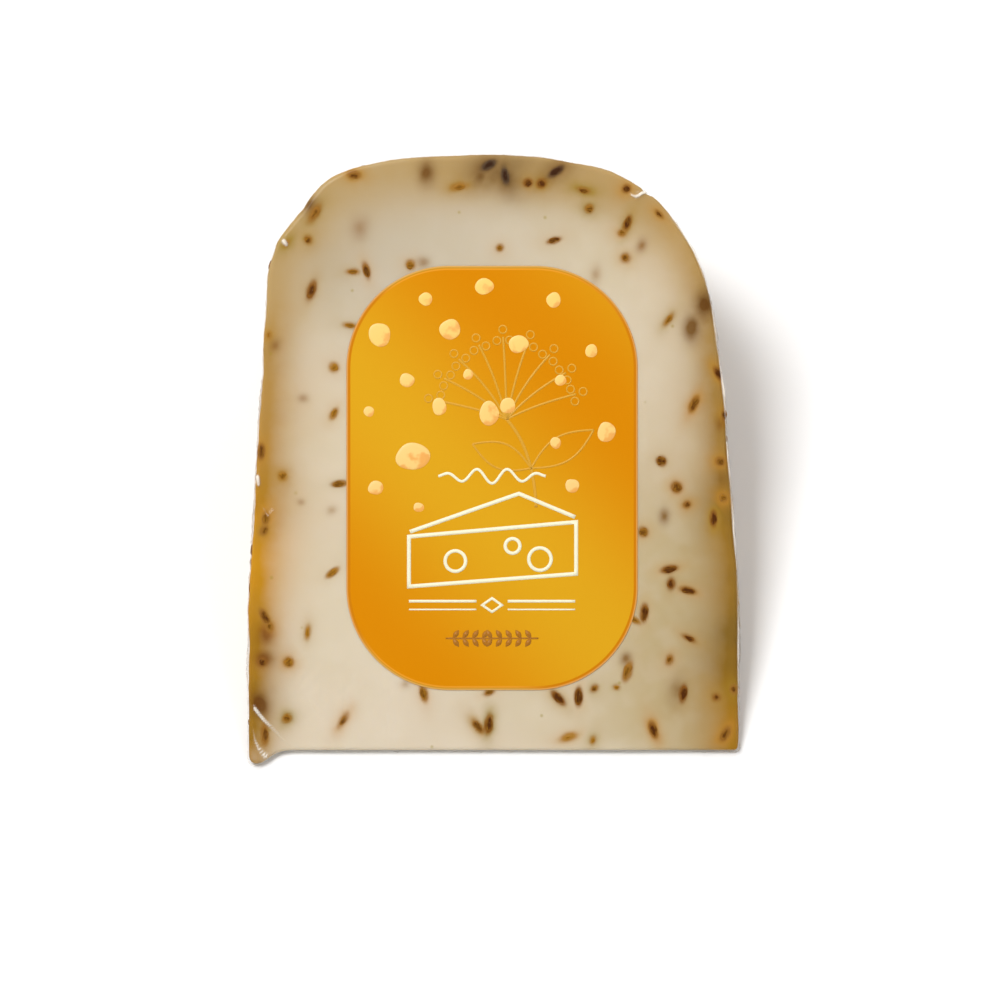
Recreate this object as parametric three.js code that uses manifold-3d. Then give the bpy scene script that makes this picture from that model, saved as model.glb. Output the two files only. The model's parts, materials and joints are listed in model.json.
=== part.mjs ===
// A wedge of seeded semi-hard cheese, sealed in a clear shrink bag with an adhesive label on its front
// cut face. The cheese is cut from a flat wheel with round shoulders. The wheel's axis runs along X, the
// blunt nose of the wedge points to -Y, the rim to +Y, and the wedge lies on its back cut face. All sizes
// are in millimetres.
import * as THREE from "three";
import { mergeVertices } from "three/addons/utils/BufferGeometryUtils.js";
import Module from "manifold-3d";

// ---------- Driving dimensions ----------
const RIM_RADIUS = 124.4; // of the whole wheel
const HALF_WIDTH = 50; // of the whole wheel, from its middle to a flat side
const WEDGE_ANGLE = THREE.MathUtils.degToRad(25); // between the two cut faces
const NOSE_RADIUS = 3; // how far from the wheel's axis the nose is cut blunt
const PROFILE_STEPS = 38; // straight steps along half of the wheel's outline
const WHEEL_STEPS = 120; // facets round the whole wheel

// Half of the wheel's outline, as [across the wheel, out from its axis].
const WHEEL_OUTLINE = [
  [-HALF_WIDTH, 0], [-HALF_WIDTH, 34], [-48.4, 62], [-46.9, 86], [-45.4, 103], // left flat side
  [-39, 112.9], [-33.3, 119.4], // bevelled left shoulder
  [-20, 123.3], [0, RIM_RADIUS], [17, 122.6], // rim
  [30, 117.4], [38.6, 107.6], [43.7, 95], // round right shoulder
  [46.8, 78], [48.5, 55], [HALF_WIDTH, 34], [HALF_WIDTH, 0], // right flat side
];

const FILM_GAP = 0.3; // between the cheese and the film
const FILM_THICKNESS = 0.3;
const FILM_OUT = FILM_GAP + FILM_THICKNESS; // how far the outside of the film stands off the cheese

const TAIL_WIDTH = 76; // the closing seal's tail, folded down on the rim
const TAIL_SWEEP = THREE.MathUtils.degToRad(7); // its length, as an angle about the wheel's axis
const TAIL_GAP = 0.2; // between the tail and the bag
const ROOT_SWEEP = THREE.MathUtils.degToRad(0.28); // the tail's root, where it comes out of the bag

const LABEL_SIZE = [59.6, 86.8];
const LABEL_CORNER = 21;
const LABEL_THICKNESS = 0.2;
const LABEL_GAP = 0.15; // between the label and the film
const LABEL_CENTRE = [-0.3, 55.6]; // across the cut face, up from the nose

const SEED_GAP = 0.2; // between a seed and its pocket
const SEED_SINK = 0.35; // how deep a seed's middle lies under the cut face, as a share of its half width
const LONG_SEED_SLENDER = 0.44; // width over length

// Seeds that the knife bared on the front cut face. Across the face, up from the nose, length, and the
// turn of a long seed in degrees, anticlockwise from across.
const LONG_SEEDS = [
  [-37.3, 94, 3.6, 72], [-26, 98, 3.1, 105], [-28.8, 97.8, 2.3, 0], [-7, 115.2, 2.9, 8],
  [2.4, 117.5, 3.2, 100], [12.8, 118.3, 3.3, 33], [18.4, 114.5, 2.4, -15], [27.4, 107.8, 3.2, 72],
  [12.4, 104.2, 2.6, 15], [35.8, 88, 2.2, 55], [41, 70.7, 3.4, 62], [36, 36.9, 3.4, 12],
  [39.8, 32.6, 3.1, -10], [30.8, 28, 3.6, 82], [28.8, 26.6, 2.4, -28], [40, 22.8, 2.4, -25],
  [27.4, 15.9, 3.7, 70], [13.3, 10.6, 3.6, -45], [17.4, 10.8, 4, 88], [38.8, 11.5, 3.4, 80],
  [32.7, 4, 3.3, 108], [-1, 5.2, 3.8, 83], [-3.2, 4.8, 2.9, 130], [-30.8, 6, 2.5, 58],
  [-46.8, 4, 3.2, 95], [-38, 24, 2, 85], [-46.8, 27.2, 3.2, 118], [-14.3, 11.6, 3.2, 103],
  [-33, 36.2, 2.7, 38], [-31.6, 54.4, 2.9, 8], [-29.4, 86.8, 2.3, -8], [45, 47.3, 3, 88],
  [15.3, 2.6, 2.2, 18], [-36.6, 109.8, 3.4, 57],
];
const ROUND_SEEDS = [
  [-38, 104.3, 1.4], [-17, 99.2, 1.7], [-32.6, 78.3, 1.6], [7, 116, 1.6],
  [9.8, 115.9, 1.7], [19.6, 110.7, 1.5], [27.2, 114.8, 1.5], [27, 100.7, 1.4],
  [34.3, 59, 2], [46.4, 59, 1.6], [37.4, 53.7, 2], [30.6, 44.6, 1.8],
  [47, 51.5, 1.5], [-43.2, 56, 1.5], [-42.3, 6.4, 1.5], [-41.9, 18, 1.9],
  [-47.4, 18, 1.6],
];

// ---------- Solids ----------
const wasm = await Module();
wasm.setup();

// A closed geometry as a solid that can be joined and cut.
function solid(geometry) {
  geometry.deleteAttribute("normal");
  geometry.deleteAttribute("uv");
  const merged = mergeVertices(geometry, 1e-4);
  return new wasm.Manifold(new wasm.Mesh({
    numProp: 3,
    vertProperties: merged.attributes.position.array,
    triVerts: new Uint32Array(merged.index.array),
  }));
}

// A solid as a geometry again.
function geometryOf(body) {
  const mesh = body.getMesh();
  return new THREE.BufferGeometry()
    .setAttribute("position", new THREE.BufferAttribute(mesh.vertProperties, 3))
    .setIndex(new THREE.BufferAttribute(mesh.triVerts, 1));
}

// ---------- Wheel and knife ----------
const outline = new THREE.SplineCurve(WHEEL_OUTLINE.map(([across, out]) => new THREE.Vector2(out, across)))
  .getPoints(PROFILE_STEPS);

// The wheel's half outline moved outwards. Its ends stay on the axis.
function grownOutline(grow) {
  return outline.map((point, i) => {
    const along = new THREE.Vector2().subVectors(
      outline[Math.min(i + 1, outline.length - 1)],
      outline[Math.max(i - 1, 0)],
    ).normalize();
    return new THREE.Vector2(Math.max(0, point.x + along.y * grow), point.y - along.x * grow);
  }).map((point, i, all) => (i === 0 || i === all.length - 1 ? point.setX(0) : point));
}

// The whole wheel, its axis along X, grown by a skin.
function wheel(grow = 0) {
  const turned = new THREE.LatheGeometry(grownOutline(grow), WHEEL_STEPS);
  return solid(turned.rotateZ(-Math.PI / 2));
}

// A long prism between two half planes that fan out from the wheel's axis, from one angle to another,
// grown by a skin, and cut blunt at the nose. The angles are measured from the back cut face.
function sector(from, to, grow = 0) {
  const half = (to - from) / 2;
  const near = NOSE_RADIUS * Math.cos(half) - grow;
  const far = 2 * RIM_RADIUS;
  const halfWidth = (distance) => distance * Math.tan(half) + grow / Math.cos(half);
  const section = new THREE.Shape([
    new THREE.Vector2(near, -halfWidth(near)),
    new THREE.Vector2(far, -halfWidth(far)),
    new THREE.Vector2(far, halfWidth(far)),
    new THREE.Vector2(near, halfWidth(near)),
  ]);
  const length = 4 * HALF_WIDTH;
  const prism = new THREE.ExtrudeGeometry(section, { depth: length, bevelEnabled: false })
    .translate(0, 0, -length / 2)
    .rotateZ(from + half)
    .applyMatrix4(new THREE.Matrix4().set(0, 0, 1, 0, 1, 0, 0, 0, 0, 1, 0, 0, 0, 0, 0, 1));
  return solid(prism);
}

function wedge(grow = 0) {
  return wheel(grow).intersect(sector(0, WEDGE_ANGLE, grow));
}

// ---------- Front cut face ----------
// Places a geometry whose own X runs across the front cut face, Y up it from the nose, and Z out of it.
const NOSE_FRONT = new THREE.Matrix4()
  .makeRotationX(WEDGE_ANGLE)
  .multiply(new THREE.Matrix4().makeTranslation(0, NOSE_RADIUS, 0));

function onFront(geometry) {
  return geometry.applyMatrix4(NOSE_FRONT);
}

// ---------- Seeds ----------
// An egg-round seed: a sphere stretched to its length, turned in the face and sunk in it.
function seedShape([across, up, length, turn = 0], slender, grow = 0) {
  const halfWidth = (length * slender) / 2;
  return onFront(
    new THREE.SphereGeometry(1, 6, 4)
      .rotateZ(Math.PI / 2)
      .scale(length / 2 + grow, halfWidth + grow, halfWidth + grow)
      .rotateZ(THREE.MathUtils.degToRad(turn))
      .translate(across, up, -SEED_SINK * halfWidth),
  );
}

const seedKinds = [
  { name: "long_seed", seeds: LONG_SEEDS, slender: LONG_SEED_SLENDER, colour: 0x5e3a16 },
  { name: "round_seed", seeds: ROUND_SEEDS, slender: 1, colour: 0x6b4a1c },
];

function addSeeds(group, blank) {
  for (const { name, seeds, slender, colour } of seedKinds) {
    const material = new THREE.MeshStandardMaterial({ color: colour, roughness: 0.55, metalness: 0 });
    seeds.forEach((seed, i) => {
      const flush = solid(seedShape(seed, slender)).intersect(blank);
      const mesh = new THREE.Mesh(geometryOf(flush), material);
      mesh.name = `${name}_${String(i + 1).padStart(2, "0")}`;
      group.add(mesh);
    });
  }
}

// ---------- Cheese ----------
// Paste and rind in one piece, with an open pocket for each bared seed.
function addCheese(group, blank) {
  const pockets = seedKinds.flatMap(({ seeds, slender }) =>
    seeds.map((seed) => solid(seedShape(seed, slender, SEED_GAP))));
  const cut = pockets.reduce((left, pocket) => left.subtract(pocket), blank);
  const mesh = new THREE.Mesh(
    geometryOf(cut),
    new THREE.MeshStandardMaterial({ color: 0xd6c4a2, roughness: 0.5, metalness: 0 }),
  );
  mesh.name = "cheese";
  group.add(mesh);
}

// ---------- Shrink bag ----------
// A tight skin of film. The closing seal's tail comes out of the middle of the rim and is folded down on
// it. Its two layers stay open to each other, so that the bag is one solid with a mouth and not a sealed
// hollow.
function addBag(group) {
  const middle = WEDGE_ANGLE / 2;
  const mouth = FILM_THICKNESS / RIM_RADIUS; // width of the slit, as an angle about the wheel's axis
  const skin = wedge(FILM_OUT).subtract(wedge(FILM_GAP));

  // The faces of the tail's two layers: the inner layer lies between the first two, the outer between the
  // last two.
  const [lower, innerTop, outerUnder, upper] = [0, 1, 2, 3].map((layer) =>
    wheel(FILM_OUT + TAIL_GAP + layer * FILM_THICKNESS));
  const tail = upper.subtract(lower).intersect(sector(middle - TAIL_SWEEP, middle + ROOT_SWEEP));
  const root = upper.subtract(wheel((FILM_GAP + FILM_OUT) / 2))
    .intersect(sector(middle - ROOT_SWEEP, middle + ROOT_SWEEP));
  const slit = outerUnder.subtract(wheel()).intersect(sector(middle - mouth / 2, middle + mouth / 2));
  const between = outerUnder.subtract(innerTop)
    .intersect(sector(middle - 2 * TAIL_SWEEP, middle + mouth / 2));

  const acrossRim = (width) => solid(new THREE.BoxGeometry(width, 3 * RIM_RADIUS, 3 * RIM_RADIUS));
  const bag = skin
    .add(tail.add(root).intersect(acrossRim(TAIL_WIDTH)))
    .subtract(slit.add(between).intersect(acrossRim(TAIL_WIDTH - 2 * FILM_THICKNESS)));

  const mesh = new THREE.Mesh(
    geometryOf(bag),
    new THREE.MeshStandardMaterial({
      color: 0xf4f2ea, roughness: 0.12, metalness: 0, transparent: true, opacity: 0.25,
    }),
  );
  mesh.name = "shrink_bag";
  group.add(mesh);
}

// ---------- Label ----------
function addLabel(group) {
  const [width, height] = LABEL_SIZE;
  const [x, y] = [-width / 2, -height / 2];
  const r = LABEL_CORNER;
  const shape = new THREE.Shape()
    .moveTo(x + r, y)
    .lineTo(x + width - r, y)
    .absarc(x + width - r, y + r, r, -Math.PI / 2, 0)
    .lineTo(x + width, y + height - r)
    .absarc(x + width - r, y + height - r, r, 0, Math.PI / 2)
    .lineTo(x + r, y + height)
    .absarc(x + r, y + height - r, r, Math.PI / 2, Math.PI)
    .lineTo(x, y + r)
    .absarc(x + r, y + r, r, Math.PI, 1.5 * Math.PI);
  const sheet = new THREE.ExtrudeGeometry(shape, {
    depth: LABEL_THICKNESS, bevelEnabled: false, curveSegments: 8,
  }).translate(...LABEL_CENTRE, FILM_OUT + LABEL_GAP);
  const mesh = new THREE.Mesh(
    geometryOf(solid(onFront(sheet))),
    new THREE.MeshStandardMaterial({ color: 0xe2a014, roughness: 0.35, metalness: 0 }),
  );
  mesh.name = "label";
  group.add(mesh);
}

// ---------- Assembly ----------
const pack = new THREE.Group();
const blank = wedge();
addCheese(pack, blank);
addSeeds(pack, blank);
addBag(pack);
addLabel(pack);

// The part's origin is the middle of its box, on the surface that it lies on.
const box = new THREE.Box3().setFromObject(pack, true);
const middle = box.getCenter(new THREE.Vector3());
for (const mesh of pack.children) mesh.position.set(-middle.x, -middle.y, -box.min.z);

export default pack;
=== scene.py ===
"""A wedge of seeded semi-hard cheese in a shrink bag, with a plain amber label on its front cut face.

The wedge lies on its back cut face. The wheel's axis runs along X, the nose points to -Y and the rim to +Y.
Every skin here is a stack of closed rings of points, worked out with numpy from the border of a cut face.
"""

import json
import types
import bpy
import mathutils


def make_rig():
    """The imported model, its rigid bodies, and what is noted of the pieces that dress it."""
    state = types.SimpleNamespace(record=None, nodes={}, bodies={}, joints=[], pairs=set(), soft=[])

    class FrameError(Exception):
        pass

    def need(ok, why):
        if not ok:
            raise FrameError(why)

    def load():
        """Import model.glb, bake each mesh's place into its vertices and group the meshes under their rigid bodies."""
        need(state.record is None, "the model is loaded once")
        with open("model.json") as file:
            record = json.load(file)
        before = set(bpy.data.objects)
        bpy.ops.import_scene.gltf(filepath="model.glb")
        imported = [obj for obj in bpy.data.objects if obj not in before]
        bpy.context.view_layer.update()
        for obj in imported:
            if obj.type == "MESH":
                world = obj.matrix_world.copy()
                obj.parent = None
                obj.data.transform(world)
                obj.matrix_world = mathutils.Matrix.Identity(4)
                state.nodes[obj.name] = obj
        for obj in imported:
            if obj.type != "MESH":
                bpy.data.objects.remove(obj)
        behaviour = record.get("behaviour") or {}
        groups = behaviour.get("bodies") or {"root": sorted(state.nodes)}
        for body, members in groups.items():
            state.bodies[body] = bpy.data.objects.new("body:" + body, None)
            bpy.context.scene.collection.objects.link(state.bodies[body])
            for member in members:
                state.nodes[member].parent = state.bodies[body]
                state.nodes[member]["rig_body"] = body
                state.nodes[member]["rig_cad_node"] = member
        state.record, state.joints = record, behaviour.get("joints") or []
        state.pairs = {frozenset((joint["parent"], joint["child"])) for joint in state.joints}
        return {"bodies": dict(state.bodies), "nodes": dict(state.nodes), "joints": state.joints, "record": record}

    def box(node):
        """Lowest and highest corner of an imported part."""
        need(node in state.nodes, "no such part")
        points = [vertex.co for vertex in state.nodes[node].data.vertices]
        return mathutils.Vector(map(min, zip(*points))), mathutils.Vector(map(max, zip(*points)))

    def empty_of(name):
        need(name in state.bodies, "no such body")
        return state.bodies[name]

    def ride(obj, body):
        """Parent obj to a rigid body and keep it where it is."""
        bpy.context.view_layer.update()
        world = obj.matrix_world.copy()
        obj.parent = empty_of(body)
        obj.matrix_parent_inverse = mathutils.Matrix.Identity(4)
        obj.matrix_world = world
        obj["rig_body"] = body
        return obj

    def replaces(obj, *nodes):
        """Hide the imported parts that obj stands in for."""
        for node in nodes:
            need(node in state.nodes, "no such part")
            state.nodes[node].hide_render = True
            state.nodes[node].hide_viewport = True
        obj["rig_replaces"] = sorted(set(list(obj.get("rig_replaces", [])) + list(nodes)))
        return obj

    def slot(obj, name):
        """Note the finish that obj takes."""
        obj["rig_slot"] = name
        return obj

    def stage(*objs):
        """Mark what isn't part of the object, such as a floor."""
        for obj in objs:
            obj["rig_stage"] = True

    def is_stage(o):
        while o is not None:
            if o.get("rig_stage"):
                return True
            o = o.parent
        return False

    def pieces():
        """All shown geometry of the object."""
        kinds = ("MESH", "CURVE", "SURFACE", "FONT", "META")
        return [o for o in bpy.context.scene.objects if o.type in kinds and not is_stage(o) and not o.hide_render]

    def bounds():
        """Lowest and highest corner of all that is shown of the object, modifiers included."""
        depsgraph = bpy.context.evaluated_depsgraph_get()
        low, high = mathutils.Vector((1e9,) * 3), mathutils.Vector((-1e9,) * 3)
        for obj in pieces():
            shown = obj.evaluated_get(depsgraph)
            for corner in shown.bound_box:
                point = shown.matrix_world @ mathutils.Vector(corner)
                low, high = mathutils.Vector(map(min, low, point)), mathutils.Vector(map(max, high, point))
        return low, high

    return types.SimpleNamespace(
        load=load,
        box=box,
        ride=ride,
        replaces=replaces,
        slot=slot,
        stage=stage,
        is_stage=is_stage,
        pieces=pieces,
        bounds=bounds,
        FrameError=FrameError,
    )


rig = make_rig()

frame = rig.load()

import json
import math

import bpy
import numpy as np
from bpy.props import FloatProperty, FloatVectorProperty, IntProperty, PointerProperty
from mathutils import Vector

CAD_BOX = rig.bounds()

bl_info = {
    "name": "Seeded cheese wedge",
    "version": (1, 0, 0),
    "blender": (4, 5, 0),
    "location": "3D View > Sidebar > Cheese",
    "description": "Cheese, seeds, film and label around the packed model of a cheese wedge",
    "category": "Object",
}

# ---------- Sizes that the frame sets, in metres ----------
MM = 0.001
WEDGE_ANGLE = math.radians(25)  # between the two cut faces
NOSE_RADIUS = 3 * MM  # how far from the wheel's axis the nose is cut blunt
CHEESE_LOW, CHEESE_HIGH = (np.array(corner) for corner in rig.box("cheese"))
AXIS_Y = CHEESE_LOW[1] - NOSE_RADIUS * math.cos(WEDGE_ANGLE)
AXIS_Z = CHEESE_LOW[2]
FACE_LENGTH = CHEESE_HIGH[1] - AXIS_Y - NOSE_RADIUS  # from the nose to the rim
FILM_OUT = CHEESE_LOW[2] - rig.box("shrink_bag")[0][2]  # how far the film stands off the back cut face
FILM_SNUG = 0.22 * MM  # how far it stands off the rind and the edges
FILM_FLAT = 0.10 * MM  # and how far off the front cut face
FILLET = 0.9 * MM  # of the cheese's edges
FILM_FILLET = 1.0 * MM
MIDDLE = np.array([0.0, FACE_LENGTH / 2])  # of a cut face, across and up
FRONT_NORMAL = np.array([0, -math.sin(WEDGE_ANGLE), math.cos(WEDGE_ANGLE)])  # out of the front cut face
CHEESE_POINTS = 900  # round the border of the cheese's skin
FILM_POINTS = 1000  # round the border of the film's
CHEESE_EAR = 0.96  # how much of the film's small ear at the nose the cheese fills


# ---------- Places on the cut faces ----------
def on_front(across, up, out=0.0):
    """Points over the front cut face: across it, up from the nose and out of it."""
    along = np.asarray(up) + NOSE_RADIUS
    y = AXIS_Y + along * math.cos(WEDGE_ANGLE) - out * math.sin(WEDGE_ANGLE)
    z = AXIS_Z + along * math.sin(WEDGE_ANGLE) + out * math.cos(WEDGE_ANGLE)
    return np.stack(np.broadcast_arrays(across, y, z), axis=-1)


def on_back(across, up, out=0.0):
    """Points over the back cut face, which is level and looks down."""
    return np.stack(np.broadcast_arrays(across, AXIS_Y + NOSE_RADIUS + up, AXIS_Z - out), axis=-1)


def off_front(points):
    """The reverse of on_front: across, up and out for points."""
    y, z = points[..., 1] - AXIS_Y, points[..., 2] - AXIS_Z
    up = y * math.cos(WEDGE_ANGLE) + z * math.sin(WEDGE_ANGLE) - NOSE_RADIUS
    out = z * math.cos(WEDGE_ANGLE) - y * math.sin(WEDGE_ANGLE)
    return np.stack([points[..., 0], up, out], axis=-1)


def corners_of(node):
    """The vertices of a CAD node."""
    mesh = frame["nodes"][node].data
    flat = np.empty(3 * len(mesh.vertices))
    mesh.vertices.foreach_get("co", flat)
    return flat.reshape(-1, 3)


# ---------- Lines ----------
def catmull_rom(points, count):
    """A smooth line through points. Each piece is the cubic whose slope at a point is half of the step
    between that point's two neighbours."""
    known = np.vstack([2 * points[0] - points[1], points, 2 * points[-1] - points[-2]])
    at = np.linspace(0, len(points) - 1, count)
    piece = np.minimum(at.astype(int), len(points) - 2)
    t = (at - piece)[:, None]
    a, b, c, d = (known[piece + k] for k in range(4))
    return b + t / 2 * (c - a + t * (2 * a - 5 * b + 4 * c - d + t * (3 * (b - c) + d - a)))


def evenly(points, count):
    """So many points at equal distances along a closed line."""
    closed = np.vstack([points, points[:1]])
    along = np.append(0, np.cumsum(np.linalg.norm(np.diff(closed, axis=0), axis=1)))
    at = np.arange(count) * along[-1] / count
    return np.column_stack([np.interp(at, along, closed[:, k]) for k in range(2)])


def outward(line):
    """Unit normals of a closed line that runs clockwise, from the step between each point's neighbours."""
    step = np.roll(line, -1, axis=0) - np.roll(line, 1, axis=0)
    step /= np.linalg.norm(step, axis=1, keepdims=True)
    return np.column_stack([-step[:, 1], step[:, 0]])


# How far the soft rind swells beyond the CAD model's outline, by direction from the middle of the cut face,
# anticlockwise from across: degrees and millimetres.
SWELLS = [
    (26, 0), (34, 0.6), (46, 0.9), (53, 0.45), (60, 0.75), (75, 0.5), (90, 0.35), (97, 0.15), (106, 0.45),
    (117, 0.7), (124, 0.15), (136, 0.5), (146, 0),
]


def directions(line):
    """The direction of points from the middle of a cut face, in degrees from 0 to 360."""
    return np.degrees(np.arctan2(line[:, 1] - MIDDLE[1], line[:, 0])) % 360


def cut_border(count, rounding=3):
    """The border of a cut face as (across, up), clockwise from the nose's left corner. It runs through the
    corners of the CAD cheese's back cut face, moved out by SWELLS, and averaging neighbours a few times
    takes the edge off its two sharp corners."""
    corners = corners_of("cheese")
    flat = corners[np.abs(corners[:, 2] - AXIS_Z) < 0.01 * MM]
    places = np.column_stack([flat[:, 0], flat[:, 1] - AXIS_Y - NOSE_RADIUS])
    places = np.unique(np.round(places / MM, 3), axis=0) * MM
    angle = np.arctan2(places[:, 1] - MIDDLE[1], places[:, 0])
    angle = np.where(angle < -math.pi / 2, angle + 2 * math.pi, angle)
    rind = catmull_rom(places[np.argsort(-angle)], 2000)
    nose = np.linspace(rind[-1], rind[0], 400)[1:-1]
    line = evenly(np.vstack([rind, nose]), count)
    for _ in range(rounding):
        line = (np.roll(line, 1, axis=0) + 2 * line + np.roll(line, -1, axis=0)) / 4
    swell = np.interp(directions(line), *np.array(SWELLS).T, left=0, right=0) * MM
    return line + swell[:, None] * outward(line)


def rounded_rectangle(width, height, corner, count):
    """The border of a rectangle with round corners, clockwise: a quarter circle about each corner's
    centre."""
    quarter = np.linspace(0, math.pi / 2, 40)
    arcs = []
    for turn, (side, end) in enumerate([(-1, 1), (1, 1), (1, -1), (-1, -1)]):
        angle = math.pi - quarter - turn * math.pi / 2
        centre = [side * (width / 2 - corner), end * (height / 2 - corner)]
        arcs.append(centre + corner * np.column_stack([np.cos(angle), np.sin(angle)]))
    return evenly(np.vstack(arcs), count)


def ripple(points, size, seed, waves=8):
    """A smooth random height of about -1 to 1: the sum of sine waves of nearly one length, each with its
    own random direction and phase."""
    rng = np.random.default_rng(seed)
    direction = rng.normal(size=(points.shape[-1], waves))
    direction *= 2 * math.pi / size * rng.uniform(0.7, 1.4, waves) / np.linalg.norm(direction, axis=0)
    phase = rng.uniform(0, 2 * math.pi, waves)
    return np.sin(points @ direction + phase).sum(axis=-1) / math.sqrt(2 * waves)


def smooth_step(low, high, value):
    """0 below low, 1 above high, and the cubic 3t^2 - 2t^3 between."""
    t = np.clip((value - low) / (high - low), 0, 1)
    return t * t * (3 - 2 * t)


# ---------- Meshes ----------
def ring_faces(rings, count):
    """Quads between neighbouring rings, and triangles that close the first and the last ring to a pole
    each. The poles are the last two vertices."""
    here = np.arange((rings - 1) * count).reshape(rings - 1, count)
    after = np.roll(here, -1, axis=1)
    quads = np.stack([here, after, after + count, here + count], axis=-1).reshape(-1, 4)
    edge = np.arange(count)
    after = np.roll(edge, -1)
    last = (rings - 1) * count
    first_pole = np.full(count, rings * count)
    start = np.column_stack([after, edge, first_pole])
    end = np.column_stack([last + edge, last + after, first_pole + 1])
    return quads, np.vstack([start, end])


def make_object(name, points, quads, triangles, slot, attributes=None):
    """A smooth mesh object that rides on the wedge, with its faces turned outwards and its attributes
    filled."""
    a, b, c = (points[triangles[:, k]] for k in range(3))
    p, q, r, s = (points[quads[:, k]] for k in range(4))
    volume = np.einsum("ij,ij->", a, np.cross(b, c))
    volume += np.einsum("ij,ij->", p, np.cross(q, r) + np.cross(r, s))
    if volume < 0:
        quads, triangles = quads[:, ::-1], triangles[:, ::-1]
    mesh = bpy.data.meshes.new(name)
    mesh.vertices.add(len(points))
    mesh.vertices.foreach_set("co", points.astype(np.float32).ravel())
    mesh.loops.add(quads.size + triangles.size)
    mesh.loops.foreach_set("vertex_index", np.append(quads.ravel(), triangles.ravel()).astype(np.int32))
    mesh.polygons.add(len(quads) + len(triangles))
    ends = np.append(np.full(len(quads), 4), np.full(len(triangles), 3))
    mesh.polygons.foreach_set("loop_start", (np.cumsum(ends) - ends).astype(np.int32))
    mesh.update(calc_edges=True)
    mesh.shade_smooth()
    for key, values in (attributes or {}).items():
        kind = "FLOAT_VECTOR" if values.ndim == 2 else "FLOAT"
        field = "vector" if values.ndim == 2 else "value"
        mesh.attributes.new(key, kind, "POINT").data.foreach_set(field, values.astype(np.float32).ravel())
    obj = bpy.data.objects.new(name, mesh)
    bpy.context.scene.collection.objects.link(obj)
    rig.ride(obj, "root")
    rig.slot(obj, slot)
    return obj


def several(shapes, faces):
    """The faces of many copies of one shape whose points are stacked one copy after the other."""
    copies, size = shapes.shape[:2]
    first = size * np.arange(copies)[:, None, None]
    return tuple((part + first).reshape(-1, part.shape[1]) for part in faces)


# ---------- The wedge's skin ----------
class Skin:
    """A closed skin round the whole wedge, as rings that run from the middle of the front cut face over its
    edge, down the rind, over the back edge and to the middle of the back cut face.

    A ring on a cut face is the border drawn in towards the middle, and stands off the cheese by grow, which
    is one height for the front and one for the back. A ring on an edge is a quarter circle of the fillet's
    radius, and a ring on the rind turns the border about the wheel's axis: both stand off by snug, and the
    face rings turn to that near the border.
    """

    def __init__(self, count, grow, snug, fillet, face, edge, rind, back):
        border = cut_border(count)
        normal = outward(border)
        self.border = border
        fillet = np.minimum(fillet, 0.18 * (border[:, 1] + NOSE_RADIUS))[:, None]
        skirt = border + snug * normal
        inner = skirt - fillet * normal
        reach = ((inner - MIDDLE) * normal).sum(axis=1)
        radius = skirt[:, 1] + NOSE_RADIUS
        drop = fillet[:, 0] - snug
        front_angle = WEDGE_ANGLE - np.arctan2(drop, radius)
        far = np.hypot(radius, drop)

        rings, inset, turn = [], [], []

        def add(points, depth, share):
            rings.append(points)
            inset.append(depth * np.ones(count))
            turn.append(share * np.ones(count))

        def add_face(place, shares, side):
            for share in shares:
                flat = MIDDLE + share * (inner - MIDDLE)
                depth = (1 - share) * reach + fillet[:, 0] - snug
                out = snug + (grow[side] - snug) * smooth_step(1.5 * MM, 7 * MM, depth)
                add(place(flat[:, 0], flat[:, 1], out), depth, side)

        def add_edge(place, angles, side):
            for angle in angles:
                flat = skirt - fillet * (1 - math.sin(angle)) * normal
                out = snug - fillet[:, 0] * (1 - math.cos(angle))
                add(place(flat[:, 0], flat[:, 1], out), fillet[:, 0] * (1 - math.sin(angle)), side)

        angles = np.linspace(0, math.pi / 2, edge + 1)[1:]
        add_face(on_front, face, 0)
        add_edge(on_front, angles, 0)
        for share in np.linspace(0, 1, rind + 2)[1:-1]:
            angle = front_angle + share * (WEDGE_ANGLE - 2 * front_angle)
            y, z = AXIS_Y + far * np.cos(angle), AXIS_Z + far * np.sin(angle)
            add(np.column_stack([skirt[:, 0], y, z]), 0, share)
        add_edge(on_back, angles[::-1], 1)
        add_face(on_back, back[::-1], 1)

        poles = np.stack([on_front(*MIDDLE, grow[0]), on_back(*MIDDLE, grow[1])])
        self.points = np.vstack([*rings, poles])
        self.inset = np.append(inset, [MIDDLE[1], MIDDLE[1]])
        self.turn = np.append(turn, [0, 1])
        self.faces = ring_faces(len(rings), count)
        self.around = np.append(np.tile(np.arange(count), len(rings)), [0, 0])
        self.normal = np.column_stack([normal, np.zeros(count)])

    def off_faces(self):
        """1 on the rind and 0 on the cut faces, with a short soft step between."""
        return smooth_step(0, 0.04, self.turn) * smooth_step(1, 0.96, self.turn)

    def on_rind(self):
        """The same, but also 1 on the rounded edges."""
        return np.maximum(self.off_faces(), smooth_step(0.4 * MM, 0, self.inset))


def face_wave(places):
    """How far the front cut face swells out and in."""
    return 0.16 * MM * ripple(places[..., :2], 38 * MM, 3)


def depth_inside(places, border):
    """How far places on a cut face lie inside its border, measured from the nearest point of it."""
    flat = places.reshape(-1, places.shape[-1])[:, :2]
    nearest = np.linalg.norm(flat[:, None] - border[None], axis=2).argmin(axis=1)
    return ((border[nearest] - flat) * outward(border)[nearest]).sum(axis=1).reshape(places.shape[:-1])


def edge_drop(places, border, fillet):
    """How far the rounded edge lies below the front cut face: the fillet's quarter circle, by the depth
    inside the border."""
    short = np.clip(fillet - depth_inside(places, border), 0, fillet)
    return fillet - np.sqrt(fillet**2 - short**2)


def skin_waves(places, turn):
    """The unevenness that the cheese and its film share, as a shift of each point: the front cut face's
    waves along its own normal, fading out down the rind."""
    return (face_wave(places) * smooth_step(0.12, 0, turn))[:, None] * FRONT_NORMAL


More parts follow.
